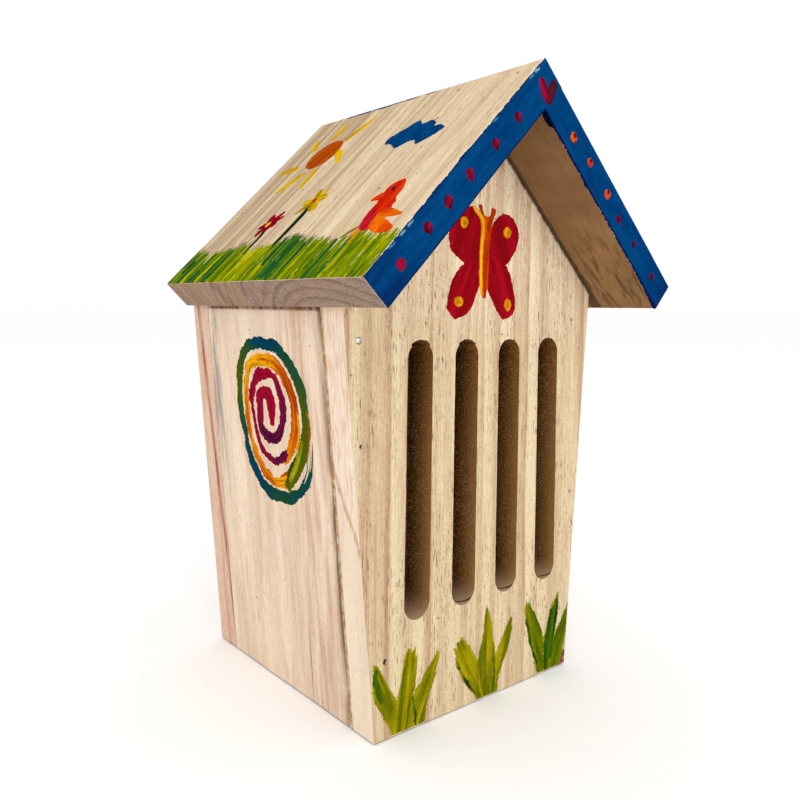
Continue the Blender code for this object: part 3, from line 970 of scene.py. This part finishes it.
        colours[:, :3] = np.concatenate((self.colour[used], self.colour[painted]))
        layer = mesh.color_attributes.new("paint", "FLOAT_COLOR", "POINT")
        layer.data.foreach_set("color", colours.ravel())
        mesh.shade_smooth()
        add_piece(name, mesh, [finish])


# ---------------------------------------------------------------- motifs

CLOUD_BLUE = "02376a 054479"
DEEP_BLUE = "0a184c 02376a"
BLUE = "0a184c 02376a 054479"
CRIMSON = "840a12 940a18 a20c20"
DARK_GRASS = "12401e 1f5628 38701a"
MID_GRASS = "406206 5a7606 788c08"
BRIGHT_GRASS = "6c8206 8c9406 b8ae0c"
LEAF = "626806 867e08 a0920c"
AMBER = "d8800a eb9c0e f0b01e"
ORANGE = "a42c06 b83a08 ce500c"
EDGE_WIDTH = BOARD - 2 * SKIN
UNDER_SPILL, TOP_SPILL = 6.0, 7.0     # how far a canvas for a front edge reaches past its corners
FLECK_STARTS = (4.6, 8.2, 30.0, 76.0, 80.0, 85.0)


def left_roof_surface():
    down, out = slope_axes(LEFT)
    edge = ROOF_LENGTH - SKIN
    origin = np.array((0, ROOF_FRONT_Y, RIDGE)) - SKIN * np.array(out)
    return Surface(origin, (0, 1, 0), down, out, [(0, 0), (edge, 0), (edge, -4)])


def front_surface():
    return Surface((0, FRONT_Y, 0), (1, 0, 0), (0, 0, 1), (0, -1, 0), [(0, 0), (PEAK, 0)])


def paint_meadow(roof, finish):
    """Grass all along the left eave, in upright strokes that thin out at the top."""
    canvas = Canvas(roof, (1.0, 68), (ROOF_DEPTH - SKIN - 0.2, ROOF_LENGTH - SKIN - EASE / 2))
    rng = np.random.default_rng(11)
    canvas.patch([(-2, 87), (30, 87.5), (60, 87), (90, 88), (127, 87), (127, 104), (-2, 104)], 90,
                 MID_GRASS, 300, thick=0.04, ragged=7.0, streak=0.8)
    zones = ((0, 8, 20, 26, 32, 38, 44, 49, 57, 62, 68, 76, 86, 93, 97, 104, ROOF_DEPTH),
             (0.62, 0.75, 0.72, 0.3, 0.6, 0.68, 0.5, 0.22, 0.2, 0.5, 0.72, 0.78, 0.6, 0.45, 0.3, 0.5, 0.42))
    crest = ((0, 8, 20, 30, 45, 57, 68, 80, 88, 98, 112, ROOF_DEPTH),
             (80.5, 79.5, 78.5, 81, 78.5, 76.5, 79.5, 81.5, 77.5, 80, 83, 77.5))
    for number in range(400):
        v = rng.uniform(-1, ROOF_DEPTH + 1)
        top = np.interp(v, *crest) - 1.5 + 5.0 * rng.random() ** 1.5
        shade = np.interp(v, *zones) + rng.uniform(-0.3, 0.3)
        tones = DARK_GRASS if shade < 0.3 else MID_GRASS if shade < 0.62 else BRIGHT_GRASS
        lean = rng.uniform(-1.8, 0.9)
        foot = 101 if number < 230 else rng.uniform(86, 100)
        blade = [(v, foot), (v + lean * 0.45, (foot + top) / 2), (v + lean, top)]
        canvas.stroke(blade, rng.uniform(0.8, 2.6), tones, 1000 + 20 * number, widths=(1, 1, 0.8, 0.35),
                      dry=2.4, gaps=0.5, thick=0.08, streak=0.6)
    for number in range(6):
        v = rng.uniform(2, 34) if number < 4 else rng.uniform(48, 70)
        foot = rng.uniform(87, 95)
        canvas.stroke([(v, foot), (v - 0.5, foot - rng.uniform(3, 7))], 0.32, "a8a850 c4c484",
                      9700 + 20 * number, dry=1.5, thick=0.05)
    canvas.film("roof_grass", finish)


def paint_sun(roof, finish):
    """A dark orange sun with six rays."""
    canvas = Canvas(roof, (66, 3), (122, 54))
    rays = (((98.4, 7), (99.8, 17)), ((80, 8), (87.4, 20.5)), ((111.5, 15), (106.8, 23)),
            ((117.4, 35), (106, 33)), ((104.6, 49), (95.4, 38.5)), ((88, 49), (89.4, 36.5)))
    for number, ray in enumerate(rays):
        canvas.stroke(ray, 4.3, "b4900c dcb012", 2000 + 20 * number, widths=(0.6, 1, 1, 0.8), dry=1.6,
                      gaps=0.3, thick=0.07, thin=0.1)
    canvas.patch([(86, 26.5), (84.4, 30), (76, 36.8), (78.6, 30.6), (82.2, 27)], 130, "cc9c0c dcb014", 2200)
    canvas.patch(around((94, 27.4), 17.6, 17.6), 60, "983604 aa4608 b0520e", 2300, thick=0.12, streak=0.5)
    canvas.film("roof_sun", finish)


def paint_cloud(roof, finish):
    """A small blue cloud, with two darker touches."""
    canvas = Canvas(roof, (18, 14), (60, 40))
    canvas.patch([(52.3, 31.5), (53.9, 28.2), (49.5, 24.1), (43.6, 20.0), (40.6, 22.4), (38.2, 22.9),
                  (35.5, 22.0), (32.0, 24.1), (30.6, 26.3), (28.0, 26.3), (24.7, 28.3), (24.5, 29.7),
                  (27.6, 33.1), (32.6, 35.6), (35.8, 33.1), (38.9, 33.0), (43.3, 35.2), (46.8, 33.6),
                  (49.5, 31.9)], 130, CLOUD_BLUE, 2400, rough=0.6, thick=0.11, streak=0.15)
    canvas.stroke([(34.6, 23.4), (33.0, 21.0)], 0.9, DEEP_BLUE, 2420, dry=0.4)
    canvas.stroke([(52.5, 31.0), (53.6, 28.4)], 1.0, "0a184c", 2440, dry=0.4)
    canvas.film("roof_cloud", finish)


def flower(canvas, centre, petals, tones, heart, heart_tones, stem, stem_tones, stem_width, seed):
    """Dabs towards each petal's tip, on a stem."""
    canvas.stroke(stem, stem_width, stem_tones, seed, widths=(0.9, 1, 0.9, 0.75), dry=0.5)
    for number, (*tip, width) in enumerate(petals):
        ends = [tuple(np.array(centre) + share * (np.array(tip) - centre)) for share in (0.15, 0.84)]
        canvas.stroke(ends, 1.15 * width, tones, seed + 20 + 20 * number, widths=(0.7, 1, 0.95, 0.7),
                      dry=0.4, thick=0.12, streak=0.8)
    canvas.stroke(heart, 2.5, heart_tones, seed + 300, widths=(0.8, 1, 0.8), dry=0.2, thick=0.16)


def paint_flowers(roof, finish):
    """A crimson flower and a yellow one."""
    canvas = Canvas(roof, (54, 48), (98, 90))
    petals = ((80.8, 61.6, 2.5), (77.8, 65, 2.5), (88, 63.4, 3.5), (79.4, 69.9, 3.8), (91.0, 71, 2.4),
              (87.4, 76.4, 2.8), (82.0, 72.6, 3.2))
    flower(canvas, (85.2, 69), petals, "780618 90081e a60e28", [(85.6, 70.2), (84.8, 68.4)], AMBER,
           [(84.4, 70.5), (83.0, 76), (83.3, 85)], "0e180a 1e2612", 2.3, 3000)
    petals = ((62.4, 51.6, 1.8), (69.0, 52.0, 3.6), (59.8, 57, 3.4), (73.8, 59.6, 3.4), (72.6, 66.4, 2.6),
              (61.0, 65.2, 4.2))
    flower(canvas, (66.4, 58.8), petals, "9c8006 cca20a dcb414", [(67.2, 59.5), (66.0, 58.2)],
           "8a0c06 a8200a", [(66.8, 61), (66.0, 66), (66.3, 74), (66.5, 79), (66.1, 86)],
           "021a10 06281a", 3.0, 3500)
    canvas.film("roof_flowers", finish)


def paint_animal(roof, finish):
    """A small red animal that sits up in the grass."""
    canvas = Canvas(roof, (0, 50), (36, 90))
    coat = "c01c08 cc2c0a d83c12"
    canvas.stroke([(21.8, 78), (22.4, 80.5), (22.2, 84.5)], 3.4, "d88008 e89610", 4000, dry=1.4)
    canvas.stroke([(23.5, 76.6), (26, 78.6), (29, 81.5)], 1.8, "5e500c 8c7812", 4050, dry=1.2)
    canvas.patch([(16, 67.5), (22, 65), (24.6, 66), (25.2, 70.5), (24.2, 75.5), (22.4, 78), (19, 79.2),
                  (16, 78), (14.5, 73)], 80, "98081e b80e30 cc2612", 4100, streak=0.8)
    canvas.patch([(16.8, 71), (13.4, 74.4), (9.6, 76.4), (5.8, 79), (8.4, 81), (14.4, 80.2), (18.4, 77.5),
                  (19.4, 73)], 120, "cc3806 da4e08 e8700c", 4200)
    canvas.patch([(20, 69.5), (14, 69.8), (7.4, 72.6), (8.4, 73.6), (13.4, 73.8), (18.5, 73.2)], 175,
                 "c83408 d85408 e07a10", 4300)
    canvas.patch([(20.4, 55.4), (23.8, 56.2), (26, 58.2), (26.2, 61), (25, 66), (22, 69.5), (17, 69),
                  (15.2, 66.8), (17.2, 64.4), (17.2, 61), (18.6, 57.6)], 95, coat, 4400)
    canvas.patch([(25.4, 60.8), (28.6, 62.2), (29.8, 63.8), (28.4, 65), (24.6, 64)], 30, coat, 4500)
    canvas.stroke([(22.1, 59.3), (22.5, 60.5)], 1.7, "060a34 14266a", 4600, widths=(0.8, 1, 0.9), dry=0.1,
                  thick=0.14)
    canvas.film("roof_animal", finish)


def paint_front_edge(side, name, near, seed, finish):
    """Blue along the front edge of a roof board, spilling raggedly over its corners."""
    down, out = slope_axes(side)
    top = slope_point(side, 0.0, -SKIN)
    surface = Surface((top[0], ROOF_FRONT_Y + SKIN, top[1]), down, (0, 1, 0), out,
                      [(UNDER_SPILL, -EDGE_WIDTH), (0, -EDGE_WIDTH), (0, 0), (TOP_SPILL, 0)])
    top_edge = UNDER_SPILL + EDGE_WIDTH
    canvas = Canvas(surface, (near, 0), (ROOF_LENGTH - SKIN - 0.1, top_edge + TOP_SPILL))
    v, u = canvas.v, canvas.u
    below = 0.1 + 0.6 * noise(v / 0.9, 7.5, seed) + 3.0 * np.clip(noise(v / 3, 9.5, seed) - 0.66, 0, 1)
    above = 0.5 * noise(v / 1.2, 0.5, seed) - 0.05
    if side == LEFT:
        above = above + 5.5 * np.clip(noise(v / 7, 3.5, seed) - 0.6, 0, 1)
    inside = np.minimum(u - (UNDER_SPILL - below), top_edge + above - u)
    fringe = (noise(v / 0.8, (u - v * 0.4) / 0.9, seed + 1) - 0.38) * 2.2
    inside = np.where(u > top_edge + 0.9, np.minimum(inside, fringe), inside)
    depth = 0.4 * noise(v / 16, u / 2.5, seed + 2) + 0.3 * noise(v / 5, u / 0.9, seed + 3) + 0.3
    to_corner = np.minimum(np.abs(u - UNDER_SPILL), np.abs(u - top_edge))
    depth = np.where((u < UNDER_SPILL) | (to_corner < 0.35), 0.0, depth)
    depth -= 0.3 * np.clip((v - 80) / 15, 0, 1)
    canvas.lay(EVERYWHERE, inside, v, u, BLUE, seed + 4, 0.07, blend=depth, streak=0.25)
    if side == RIGHT:
        canvas.patch([(12.0, 6.2), (13.0, 4.2), (16.6, 4.0), (18.0, 5.0), (17.6, 6.2)], 0, "060c2c", 5700)
    for number, start in enumerate(FLECK_STARTS if side == LEFT else ()):
        canvas.stroke([(start, top_edge - 0.8), (start + 2.8, top_edge - 0.5)], 0.65, "3f7c98 7cb0c0",
                      5500 + 20 * number, dry=0.6, thick=0.05)
    canvas.film(f"{name}_edge_paint", finish)


def paint_ridge_line(finish):
    """A thin line of the same blue along the back half of the ridge."""
    corner = slope_point(LEFT, SKIN, -SKIN)
    surface = Surface((corner[0], ROOF_FRONT_Y, corner[1]), (0, 1, 0), *slope_axes(LEFT),
                      [(0, -5), (0, 0), (4, 0)])
    start, end = 50, 104
    canvas = Canvas(surface, (start, 0), (ROOF_DEPTH - SKIN - 0.2, 9))
    v, u = canvas.v, canvas.u
    reach = 1.5 * noise(v / 4.5, 2.5, 5900) + 0.4 * noise(v / 0.9, 4.5, 5903)
    inside = np.minimum(5.0 + reach - u, u - 2.5 + noise(v / 4, 6.5, 5901))
    inside = np.minimum(inside, 2.4 * (noise(v / 2.6, 8.5, 5904) - 0.22))
    inside = np.minimum(inside, np.minimum(v - start, end - v) / 4)
    canvas.lay(EVERYWHERE, inside, v, u, "12283c 1c4656 0c3c68", 5902, 0.06)
    canvas.film("ridge_paint", finish)


def paint_edge_dots(finish):
    """Dabs along the blue edges, and a heart at the peak."""
    surface = Surface((0, ROOF_FRONT_Y + SKIN, 0), (1, 0, 0), (0, 0, 1), (0, -1, 0),
                      [(100, 0), (RIDGE + 5, 0)])
    canvas = Canvas(surface, (-64, 36), (64, 110))
    red, bright, orange = "3c081c 5c0a24 700c28", "860c2c 9a1030", "b83410 dc5c16"
    dabs = [(-57.4, 44.1, 3.1, bright), (-48, 54.4, 3.1, red), (-40.4, 62.2, 3.3, red),
            (-32, 70.8, 3.0, red), (-21.7, 80.6, 3.0, red), (-12.1, 89.9, 2.9, red),
            (14.1, 87.4, 3.0, orange), (22.9, 80.3, 2.7, orange), (32.3, 70.8, 3.0, orange),
            (38.6, 62.8, 2.7, red), (47.4, 54.6, 2.2, red), (58.3, 43.8, 2.4, red)]
    smeared = (1, 2, 3, 4, 6, 8, 9)
    for number, (v, u, size, tones) in enumerate(dabs):
        canvas.dab((v, u), 1.15 * size, 1.2 * size, tones, 6000 + 20 * number, thick=0.1)
        upper = bright if v < 30 and tones is not orange else red
        canvas.dab((v + 0.2 * size, u + 0.25 * size), 0.5 * size, 0.6 * size, upper, 6600 + 20 * number,
                   thick=0.1)
        if number in smeared:
            canvas.stroke([(v + 0.3, u - 1), (v + 1.4, u - 2.2)], 0.8, red, 6200 + 20 * number, dry=0.3)
    canvas.stroke([(4.4, 103.2), (3.2, 100.2), (2.0, 96.2)], 4.0, "3e1626 5c1428", 6440,
                  widths=(0.85, 1.0, 0.8, 0.35), dry=0.4)
    canvas.stroke([(-1.7, 103.2), (-0.4, 100.2), (1.8, 96.2)], 3.8, "5a0c22 7c0c28", 6400,
                  widths=(0.75, 1.0, 0.95, 0.35), dry=0.4)
    canvas.stroke([(-2.4, 103.0), (-1.4, 100.4), (0.7, 97.4)], 1.6, bright, 6420, dry=0.4)
    canvas.clip((RIDGE - 100 - np.abs(canvas.v) - canvas.u) * ROOT_HALF - EASE - SKIN)
    canvas.film("edge_dots", finish, lift=0.06)


def paint_butterfly(finish):
    """Four crimson wings with amber eyes round an orange body."""
    canvas = Canvas(front_surface(), (-23, 122), (21, 172))
    wings = (
        (72, [(-0.6, 146), (-1.2, 152), (-2.6, 160.3), (-4.5, 165), (-8, 166), (-13, 163.5), (-17.2, 157.5),
              (-16.8, 152), (-15, 149.6), (-10.6, 147), (-7, 145)]),
        (108, [(-0.8, 146), (0.2, 153), (2.7, 160), (5.3, 162.9), (9, 164.6), (13, 163), (15.8, 158.2),
               (15, 154), (13.1, 150.6), (9.5, 147), (5, 145)]),
        (65, [(-1, 148), (-7, 148.2), (-10.6, 146.8), (-15.5, 141.9), (-18, 134.1), (-17.7, 131.2),
              (-14.5, 128.6), (-12, 129), (-7.6, 131.6), (-3.6, 139), (-1, 144)]),
        (110, [(-1, 148), (5, 148.2), (9.5, 146.8), (12.2, 142.3), (14.3, 134), (12.8, 130), (8.3, 128.3),
               (5.4, 130.7), (3, 133.9), (0.5, 138.2), (-1, 144)]),
    )
    for number, (heading, outline) in enumerate(wings):
        canvas.patch(outline, heading, CRIMSON, 7000 + 20 * number, thick=0.09, rough=0.6, streak=0.15)
    eyes = ((-10.5, 160.3, 3.4, 3.6), (10.0, 158.1, 3.8, 3.5), (-12.9, 134.3, 3.9, 3.3),
            (10.3, 133.4, 3.3, 4.0))
    for number, (x, z, wide, tall) in enumerate(eyes):
        canvas.dab((x, z), wide, tall, "c07c0a dc9410 e8a818", 7200 + 20 * number)
        canvas.dab((x + 0.3, z - 0.2), wide * 0.45, tall * 0.45, "b86008 cc7a0a", 7280 + 20 * number)
    body = [(0.5, 161.2, 3.8, 0.3), (0.6, 158.6, 3.9, 0.2), (0.1, 156.6, 3.4, 0.6),
            (-0.3, 152.8, 3.8, 0.4), (-0.8, 147.0, 3.3, 0.3), (-0.9, 139.6, 3.0, 0.5),
            (-1.2, 135.6, 1.9, 0.3)]
    canvas.ribbon(body, ORANGE, 7400, dry=0.5, thick=0.15, streak=0.8)
    head = [(-2.4, 162.6), (0.3, 163.0), (2.6, 162.6), (2.6, 160.2), (0.4, 157.4), (-1.5, 157.3)]
    canvas.patch(head, 60, ORANGE, 7430, thick=0.16, streak=0.8)
    light = [(-6.3, 166.0, 1.2, 1.0), (-4.0, 164.0, 1.3, 1.0), (-2.1, 161.9, 1.8, 0.6),
             (-1.8, 158.4, 1.8, 0.5), (-2.5, 152.6, 1.6, 0.8), (-2.7, 146.8, 1.5, 0.7),
             (-2.6, 139.5, 1.2, 0.9), (-2.0, 136.3, 0.9, 0.4)]
    canvas.ribbon(light, AMBER, 7420, dry=0.5, thick=0.17, streak=0.8)
    crease = [(0.5, 152.0, 0.5, 0.0), (-0.6, 145.0, 0.7, 0.0), (-1.1, 138.0, 0.5, 0.0)]
    canvas.ribbon(crease, "9c2a04 b03808", 7450, thick=0.12)
    feeler = [(-3.2, 166.7, 2.0, 0.4), (-2.4, 164.9, 1.5, 0.2), (-1.6, 163.2, 1.0, 0.2)]
    canvas.ribbon(feeler, ORANGE, 7440, dry=0.3, thick=0.13)
    feeler = [(3.5, 165.8, 2.4, 0.6), (2.8, 163.6, 2.2, 0.4), (1.2, 160.5, 2.0, 0.2),
              (0.7, 158.0, 1.6, 0.0)]
    canvas.ribbon(feeler, ORANGE, 7460, dry=0.3, thick=0.15, streak=0.8)
    canvas.film("front_butterfly", finish)


def paint_leaves(finish):
    """Three tufts of leaves growing from the bottom edge."""
    canvas = Canvas(front_surface(), (-48.5, 0.45), (46.5, 36))
    dark, green = "1a3a10 2a4c0c 3e600a", "465808 5c6c06 747c08"
    leaves = (
        (115, LEAF, [(-47.4, 22.9), (-46.4, 23.7), (-44.7, 22.6), (-39.7, 13.7), (-36, 8), (-33, -1),
                     (-38.7, -0.9), (-41.3, 3.6), (-45.0, 10.1), (-46.9, 14.0)]),
        (82, LEAF, [(-37.5, 10.4), (-36.3, 16.7), (-34.2, 24.1), (-32.1, 25.5), (-29.6, 22.8),
                    (-30.0, 14.8), (-31.0, 9.2), (-30, -1), (-37, -1)]),
        (65, LEAF, [(-31.5, 9.2), (-27.6, 14.8), (-23.1, 19.7), (-20.2, 22.3), (-21.2, 15.7),
                    (-24.8, 7.1), (-27.4, -1.0), (-33, -1)]),
        (120, LEAF, [(-13.0, 19.0), (-11.4, 22.4), (-7.9, 21.2), (-2.4, 13.2), (1.5, 6), (3, -1),
                     (-2.2, -1.4), (-4.8, 3.0), (-9.8, 8.8), (-12.9, 14.7)]),
        (70, LEAF, [(4.8, 11.8), (10.5, 20.8), (13.2, 24.2), (14.0, 19.9), (11.7, 13.0), (7.5, 5.2),
                    (6.6, -1.2), (2, -1), (3, 6)]),
        (88, LEAF, [(-3.0, 11), (-2.2, 15), (-0.4, 21.4), (1.5, 31.1), (3.6, 26.9), (4.7, 19.3),
                    (5.8, 13.8), (5, -1), (0, -1)]),
        (108, green, [(20.9, 24.3), (22.0, 27.1), (25.4, 23.9), (29.6, 15.9), (33, 5), (33.5, -1),
                      (27.5, -0.2), (25.7, 6.1), (22.7, 13.8), (20.9, 22)]),
        (68, green, [(35.3, 10.4), (41.5, 18.5), (45.8, 23.8), (46.5, 17), (44.0, 12), (42.3, 7.9),
                     (39.9, 0.5), (38, -1), (33, -1), (34, 5)]),
        (80, dark, [(30.8, 11.4), (33.6, 20.4), (36.0, 24.6), (38.9, 26.3), (38.8, 20.0), (36.8, 11.7),
                    (34.3, 2.6), (31, -1), (30.5, 5)]),
    )
    for number, (heading, tones, outline) in enumerate(leaves):
        seed = 8000 + 40 * number
        canvas.patch(outline, heading, "7c7c08 988e0c a89820", seed + 20, thick=0.07, rough=0.9, ragged=5.5,
                     grain=0.6, comb=0.4, streak=0.6)
        canvas.patch(outline, heading, tones, seed, thick=0.12, rough=0.6, ragged=4.0, grain=0.7, comb=0.4,
                     grow=-0.3, streak=0.7)
    shadows = (((-46.4, 22.6), (-45.8, 17), (-43.5, 11.5), 1.7), ((-12.6, 16), (-9, 9.5), (-4, 2.6), 0.8),
               ((-31.5, 10), (-30.5, 5), (-30.0, 0), 0.9), ((4.6, 13), (5.2, 7), (4.4, 0), 0.6),
               ((21.2, 22), (24, 12), (27.5, 3), 1.0))
    for number, (*points, width) in enumerate(shadows):
        canvas.stroke(points, width, dark, 8700 + 20 * number, dry=1.2, gaps=0.4, rough=0.6)
    slope = (EAVE[RIGHT][0] - FOOT[RIGHT][0]) / EAVE[RIGHT][1]
    canvas.clip(FOOT[RIGHT][0] + slope * canvas.u - canvas.v - EASE / 2)
    canvas.clip(canvas.v - FOOT[LEFT][0] + slope * canvas.u - EASE / 2)
    canvas.film("front_leaves", finish)


def paint_spiral(finish):
    """Two rings and a spiral on the left wall."""
    foot = np.array(FOOT[LEFT])
    up = unit(np.array(EAVE[LEFT]) - foot)
    surface = Surface((foot[0], FRONT_Y, 0), (0, 1, 0), (up[0], 0, up[1]), (-up[1], 0, up[0]),
                      [(0, 0), (140, 0)])
    canvas = Canvas(surface, (18, 62), (74, 126))
    sea, fire = "5c6006 36540e 0e4636 053a5a", "a83c06 c45a08 dc880a e8a414"
    wine, yellow = "4a0e34 6c1238 8a0e32 9c0a26", "c88c0a e8aa10"

    lower = [(66.6, 92.0, 3.0, 0.6), (65.5, 86.5, 3.3, 0.75), (64.3, 81.4, 3.3, 0.8),
             (61.8, 76.7, 4.4, 0.95), (58.0, 72.8, 4.3, 1.0), (52.6, 69.4, 4.7, 0.8),
             (46.7, 68.2, 5.0, 0.65), (39.2, 68.8, 4.3, 0.65), (32.1, 71.6, 3.6, 0.7),
             (27.5, 75.7, 4.0, 0.65), (24.4, 81.0, 4.2, 0.6), (22.9, 88.0, 3.6, 0.5),
             (22.6, 95.0, 2.4, 0.4)]
    canvas.ribbon(lower, sea, 9100, dry=4.0, gaps=0.95, thick=0.12, rough=0.8, streak=0.8)
    touch = [(43.1, 75.1, 0.9, 0.0), (40.0, 76.7, 1.6, 0.2), (37.9, 77.8, 1.0, 0.1)]
    canvas.ribbon(touch, fire, 9360, dry=0.5)
    ring = [(40.2, 80.2, 2.6, 0.9), (35.7, 85.1, 3.7, 0.35), (31.6, 93.4, 5.6, 0.2),
            (31.3, 101.5, 4.9, 0.15), (34.9, 108.5, 4.6, 0.1), (38.2, 111.7, 4.8, 0.3),
            (43.7, 114.3, 4.5, 0.65), (50.0, 114.7, 4.7, 0.7), (57.8, 113.2, 4.2, 0.85),
            (61.0, 109.0, 3.6, 0.75), (62.9, 99.0, 3.9, 0.45), (62.2, 88.5, 3.0, 0.5),
            (60.6, 83.8, 3.4, 0.6), (54.5, 76.3, 3.9, 0.35), (50.2, 73.8, 3.6, 0.4),
            (45.2, 72.8, 3.4, 0.75), (38.1, 74.4, 3.2, 0.85)]
    canvas.ribbon(ring, fire, 9300, thick=0.14, dry=1.2, rough=0.8, streak=1.0)
    canvas.stroke([(29.6, 99), (29.2, 94), (30.2, 89), (33.0, 84.5)], 1.2, yellow, 9340, dry=1.0,
                  streak=0.8)
    canvas.stroke([(59.5, 109.8), (57.0, 112.4), (50.5, 113.2), (44.5, 112.6)], 1.6, yellow, 9380, dry=1.0,
                  streak=0.8)
    outer = [(39.8, 71.4, 3.4, 0.1), (35.4, 76.8, 6.0, 0.05), (30.4, 82.3, 6.2, 0.1),
             (26.8, 87.8, 5.0, 0.15), (25.0, 95.0, 4.6, 0.15), (25.3, 102.2, 5.0, 0.3),
             (26.3, 106.3, 5.6, 0.4), (32.2, 114.2, 4.4, 0.55), (40.5, 119.7, 4.4, 0.8),
             (46.6, 120.3, 3.8, 1.0), (54.5, 120.2, 4.0, 0.75), (60.6, 118.2, 4.1, 0.4),
             (64.8, 112.8, 4.3, 0.3), (66.7, 107.7, 4.4, 0.15), (67.7, 102.2, 3.9, 0.25),
             (67.5, 96.6, 3.8, 0.4), (66.7, 91.0, 3.9, 0.6), (65.2, 86.3, 3.7, 0.75)]
    canvas.ribbon(outer, sea, 9000, dry=3.0, thick=0.13, rough=0.7, streak=0.9)
    canvas.stroke([(27.6, 89.5), (32.2, 81.5), (37.6, 74.2)], 2.4, "6a7006 8c8c0c a09a1c", 9060, dry=2.5,
                  gaps=0.6, rough=0.6, streak=0.9)
    canvas.stroke([(23.6, 100), (23.0, 94), (24.2, 88), (26.6, 83)], 0.9, "7c4a10 96600c", 9020, dry=2.0,
                  gaps=0.5, rough=0.8)
    canvas.stroke([(32.5, 84), (36.5, 78.5), (39.6, 73.5)], 0.9, "343e0c", 9040, dry=1.5, gaps=0.4,
                  rough=0.6)
    spiral = [(45.8, 92.3, 1.8, 1.0), (46.1, 95.9, 5.0, 0.95), (45.9, 100.0, 6.0, 0.85),
              (47.5, 102.6, 5.6, 0.7), (50.4, 103.2, 4.6, 0.7), (53.2, 101.4, 5.0, 0.75),
              (54.0, 93.1, 4.9, 0.4), (52.8, 89.7, 4.6, 0.2), (46.5, 87.9, 4.5, 0.05),
              (42.2, 89.8, 4.5, 0.1), (39.0, 95.2, 4.3, 0.2), (38.2, 99.0, 4.5, 0.3),
              (38.8, 102.6, 4.2, 0.4), (41.9, 108.0, 3.5, 0.65), (45.1, 109.8, 3.2, 0.8),
              (49.9, 110.0, 4.1, 0.9), (54.6, 108.0, 4.9, 0.85), (57.8, 104.6, 4.0, 0.7),
              (59.0, 99.8, 3.2, 0.7), (58.8, 94.9, 2.4, 0.7), (56.4, 86.2, 2.9, 0.7),
              (53.8, 82.6, 2.8, 0.6), (48.8, 80.6, 2.6, 0.5), (44.5, 80.6, 3.5, 0.3),
              (39.6, 83.0, 3.3, 0.2), (37.4, 84.8, 1.6, 0.1)]
    canvas.ribbon(spiral, wine, 9400, thick=0.14, dry=0.8, streak=0.9, rough=0.8)
    canvas.film("side_spiral", finish)


def paint_house():
    paint = brushed_paint()
    roof = left_roof_surface()
    for motif in (paint_meadow, paint_sun, paint_cloud, paint_flowers, paint_animal):
        motif(roof, paint)
    paint_front_edge(LEFT, "left", SKIN, 5000, paint)
    paint_front_edge(RIGHT, "right", EDGE_WIDTH - 1.0, 5600, paint)
    for motif in (paint_ridge_line, paint_edge_dots, paint_butterfly, paint_leaves, paint_spiral):
        motif(paint)


# ---------------------------------------------------------------- studio

FLOOR_RADIUS, FLOOR_DROP = 30.0, 0.0004      # in metres, as are the places below
AIM = Vector((0, 0, 0.1))
LAMP_SIZE = 0.7


def make_camera():
    data = bpy.data.cameras.new("camera")
    data.sensor_width = 36.0
    data.lens = 36.04
    data.shift_y = -0.1
    data.clip_start, data.clip_end = 0.01, 100.0
    camera = add_object("camera", data)
    camera.location = (-0.1928, -0.2277, 0.1334)
    camera.rotation_euler = Euler((1.5508, -0.006, -0.685), "XYZ")
    bpy.context.scene.camera = camera


def add_lamp(name, place, power):
    """A soft round lamp that looks at the middle of the house."""
    data = bpy.data.lights.new(name, "AREA")
    data.shape = "DISK"
    data.size = LAMP_SIZE
    data.energy = power
    lamp = add_object(name, data)
    lamp.location = place
    lamp.rotation_euler = (AIM - Vector(place)).to_track_quat("-Z", "Y").to_euler()


def make_studio():
    """A white room with a pale floor and two lamps."""
    scene = bpy.context.scene
    scene.view_settings.view_transform = "Standard"
    scene.view_settings.look = "None"
    world = bpy.data.worlds.new("studio")
    world.use_nodes = True
    background = world.node_tree.nodes["Background"]
    background.inputs["Color"].default_value = (1.0, 1.0, 1.0, 1.0)
    background.inputs["Strength"].default_value = 1.0
    scene.world = world
    bm = bmesh.new()
    bmesh.ops.create_circle(bm, cap_ends=True, segments=96, radius=FLOOR_RADIUS)
    floor = add_object("studio_floor", mesh_from("studio_floor", bm))
    floor.location.z = -FLOOR_DROP
    g = Graph("studio_floor")
    g.shader.inputs["Base Color"].default_value = (0.99, 0.99, 0.99, 1.0)
    g.shader.inputs["Roughness"].default_value = 0.9
    g.shader.inputs["Specular IOR Level"].default_value = 0.0
    floor.data.materials.append(g.material)
    add_lamp("key", (-0.55, -0.75, 0.95), 2.8)
    add_lamp("fill", (0.2, -1.1, 0.25), 1.8)


make_gables()
make_walls()
make_roof()
make_pins()
paint_house()
make_camera()
make_studio()
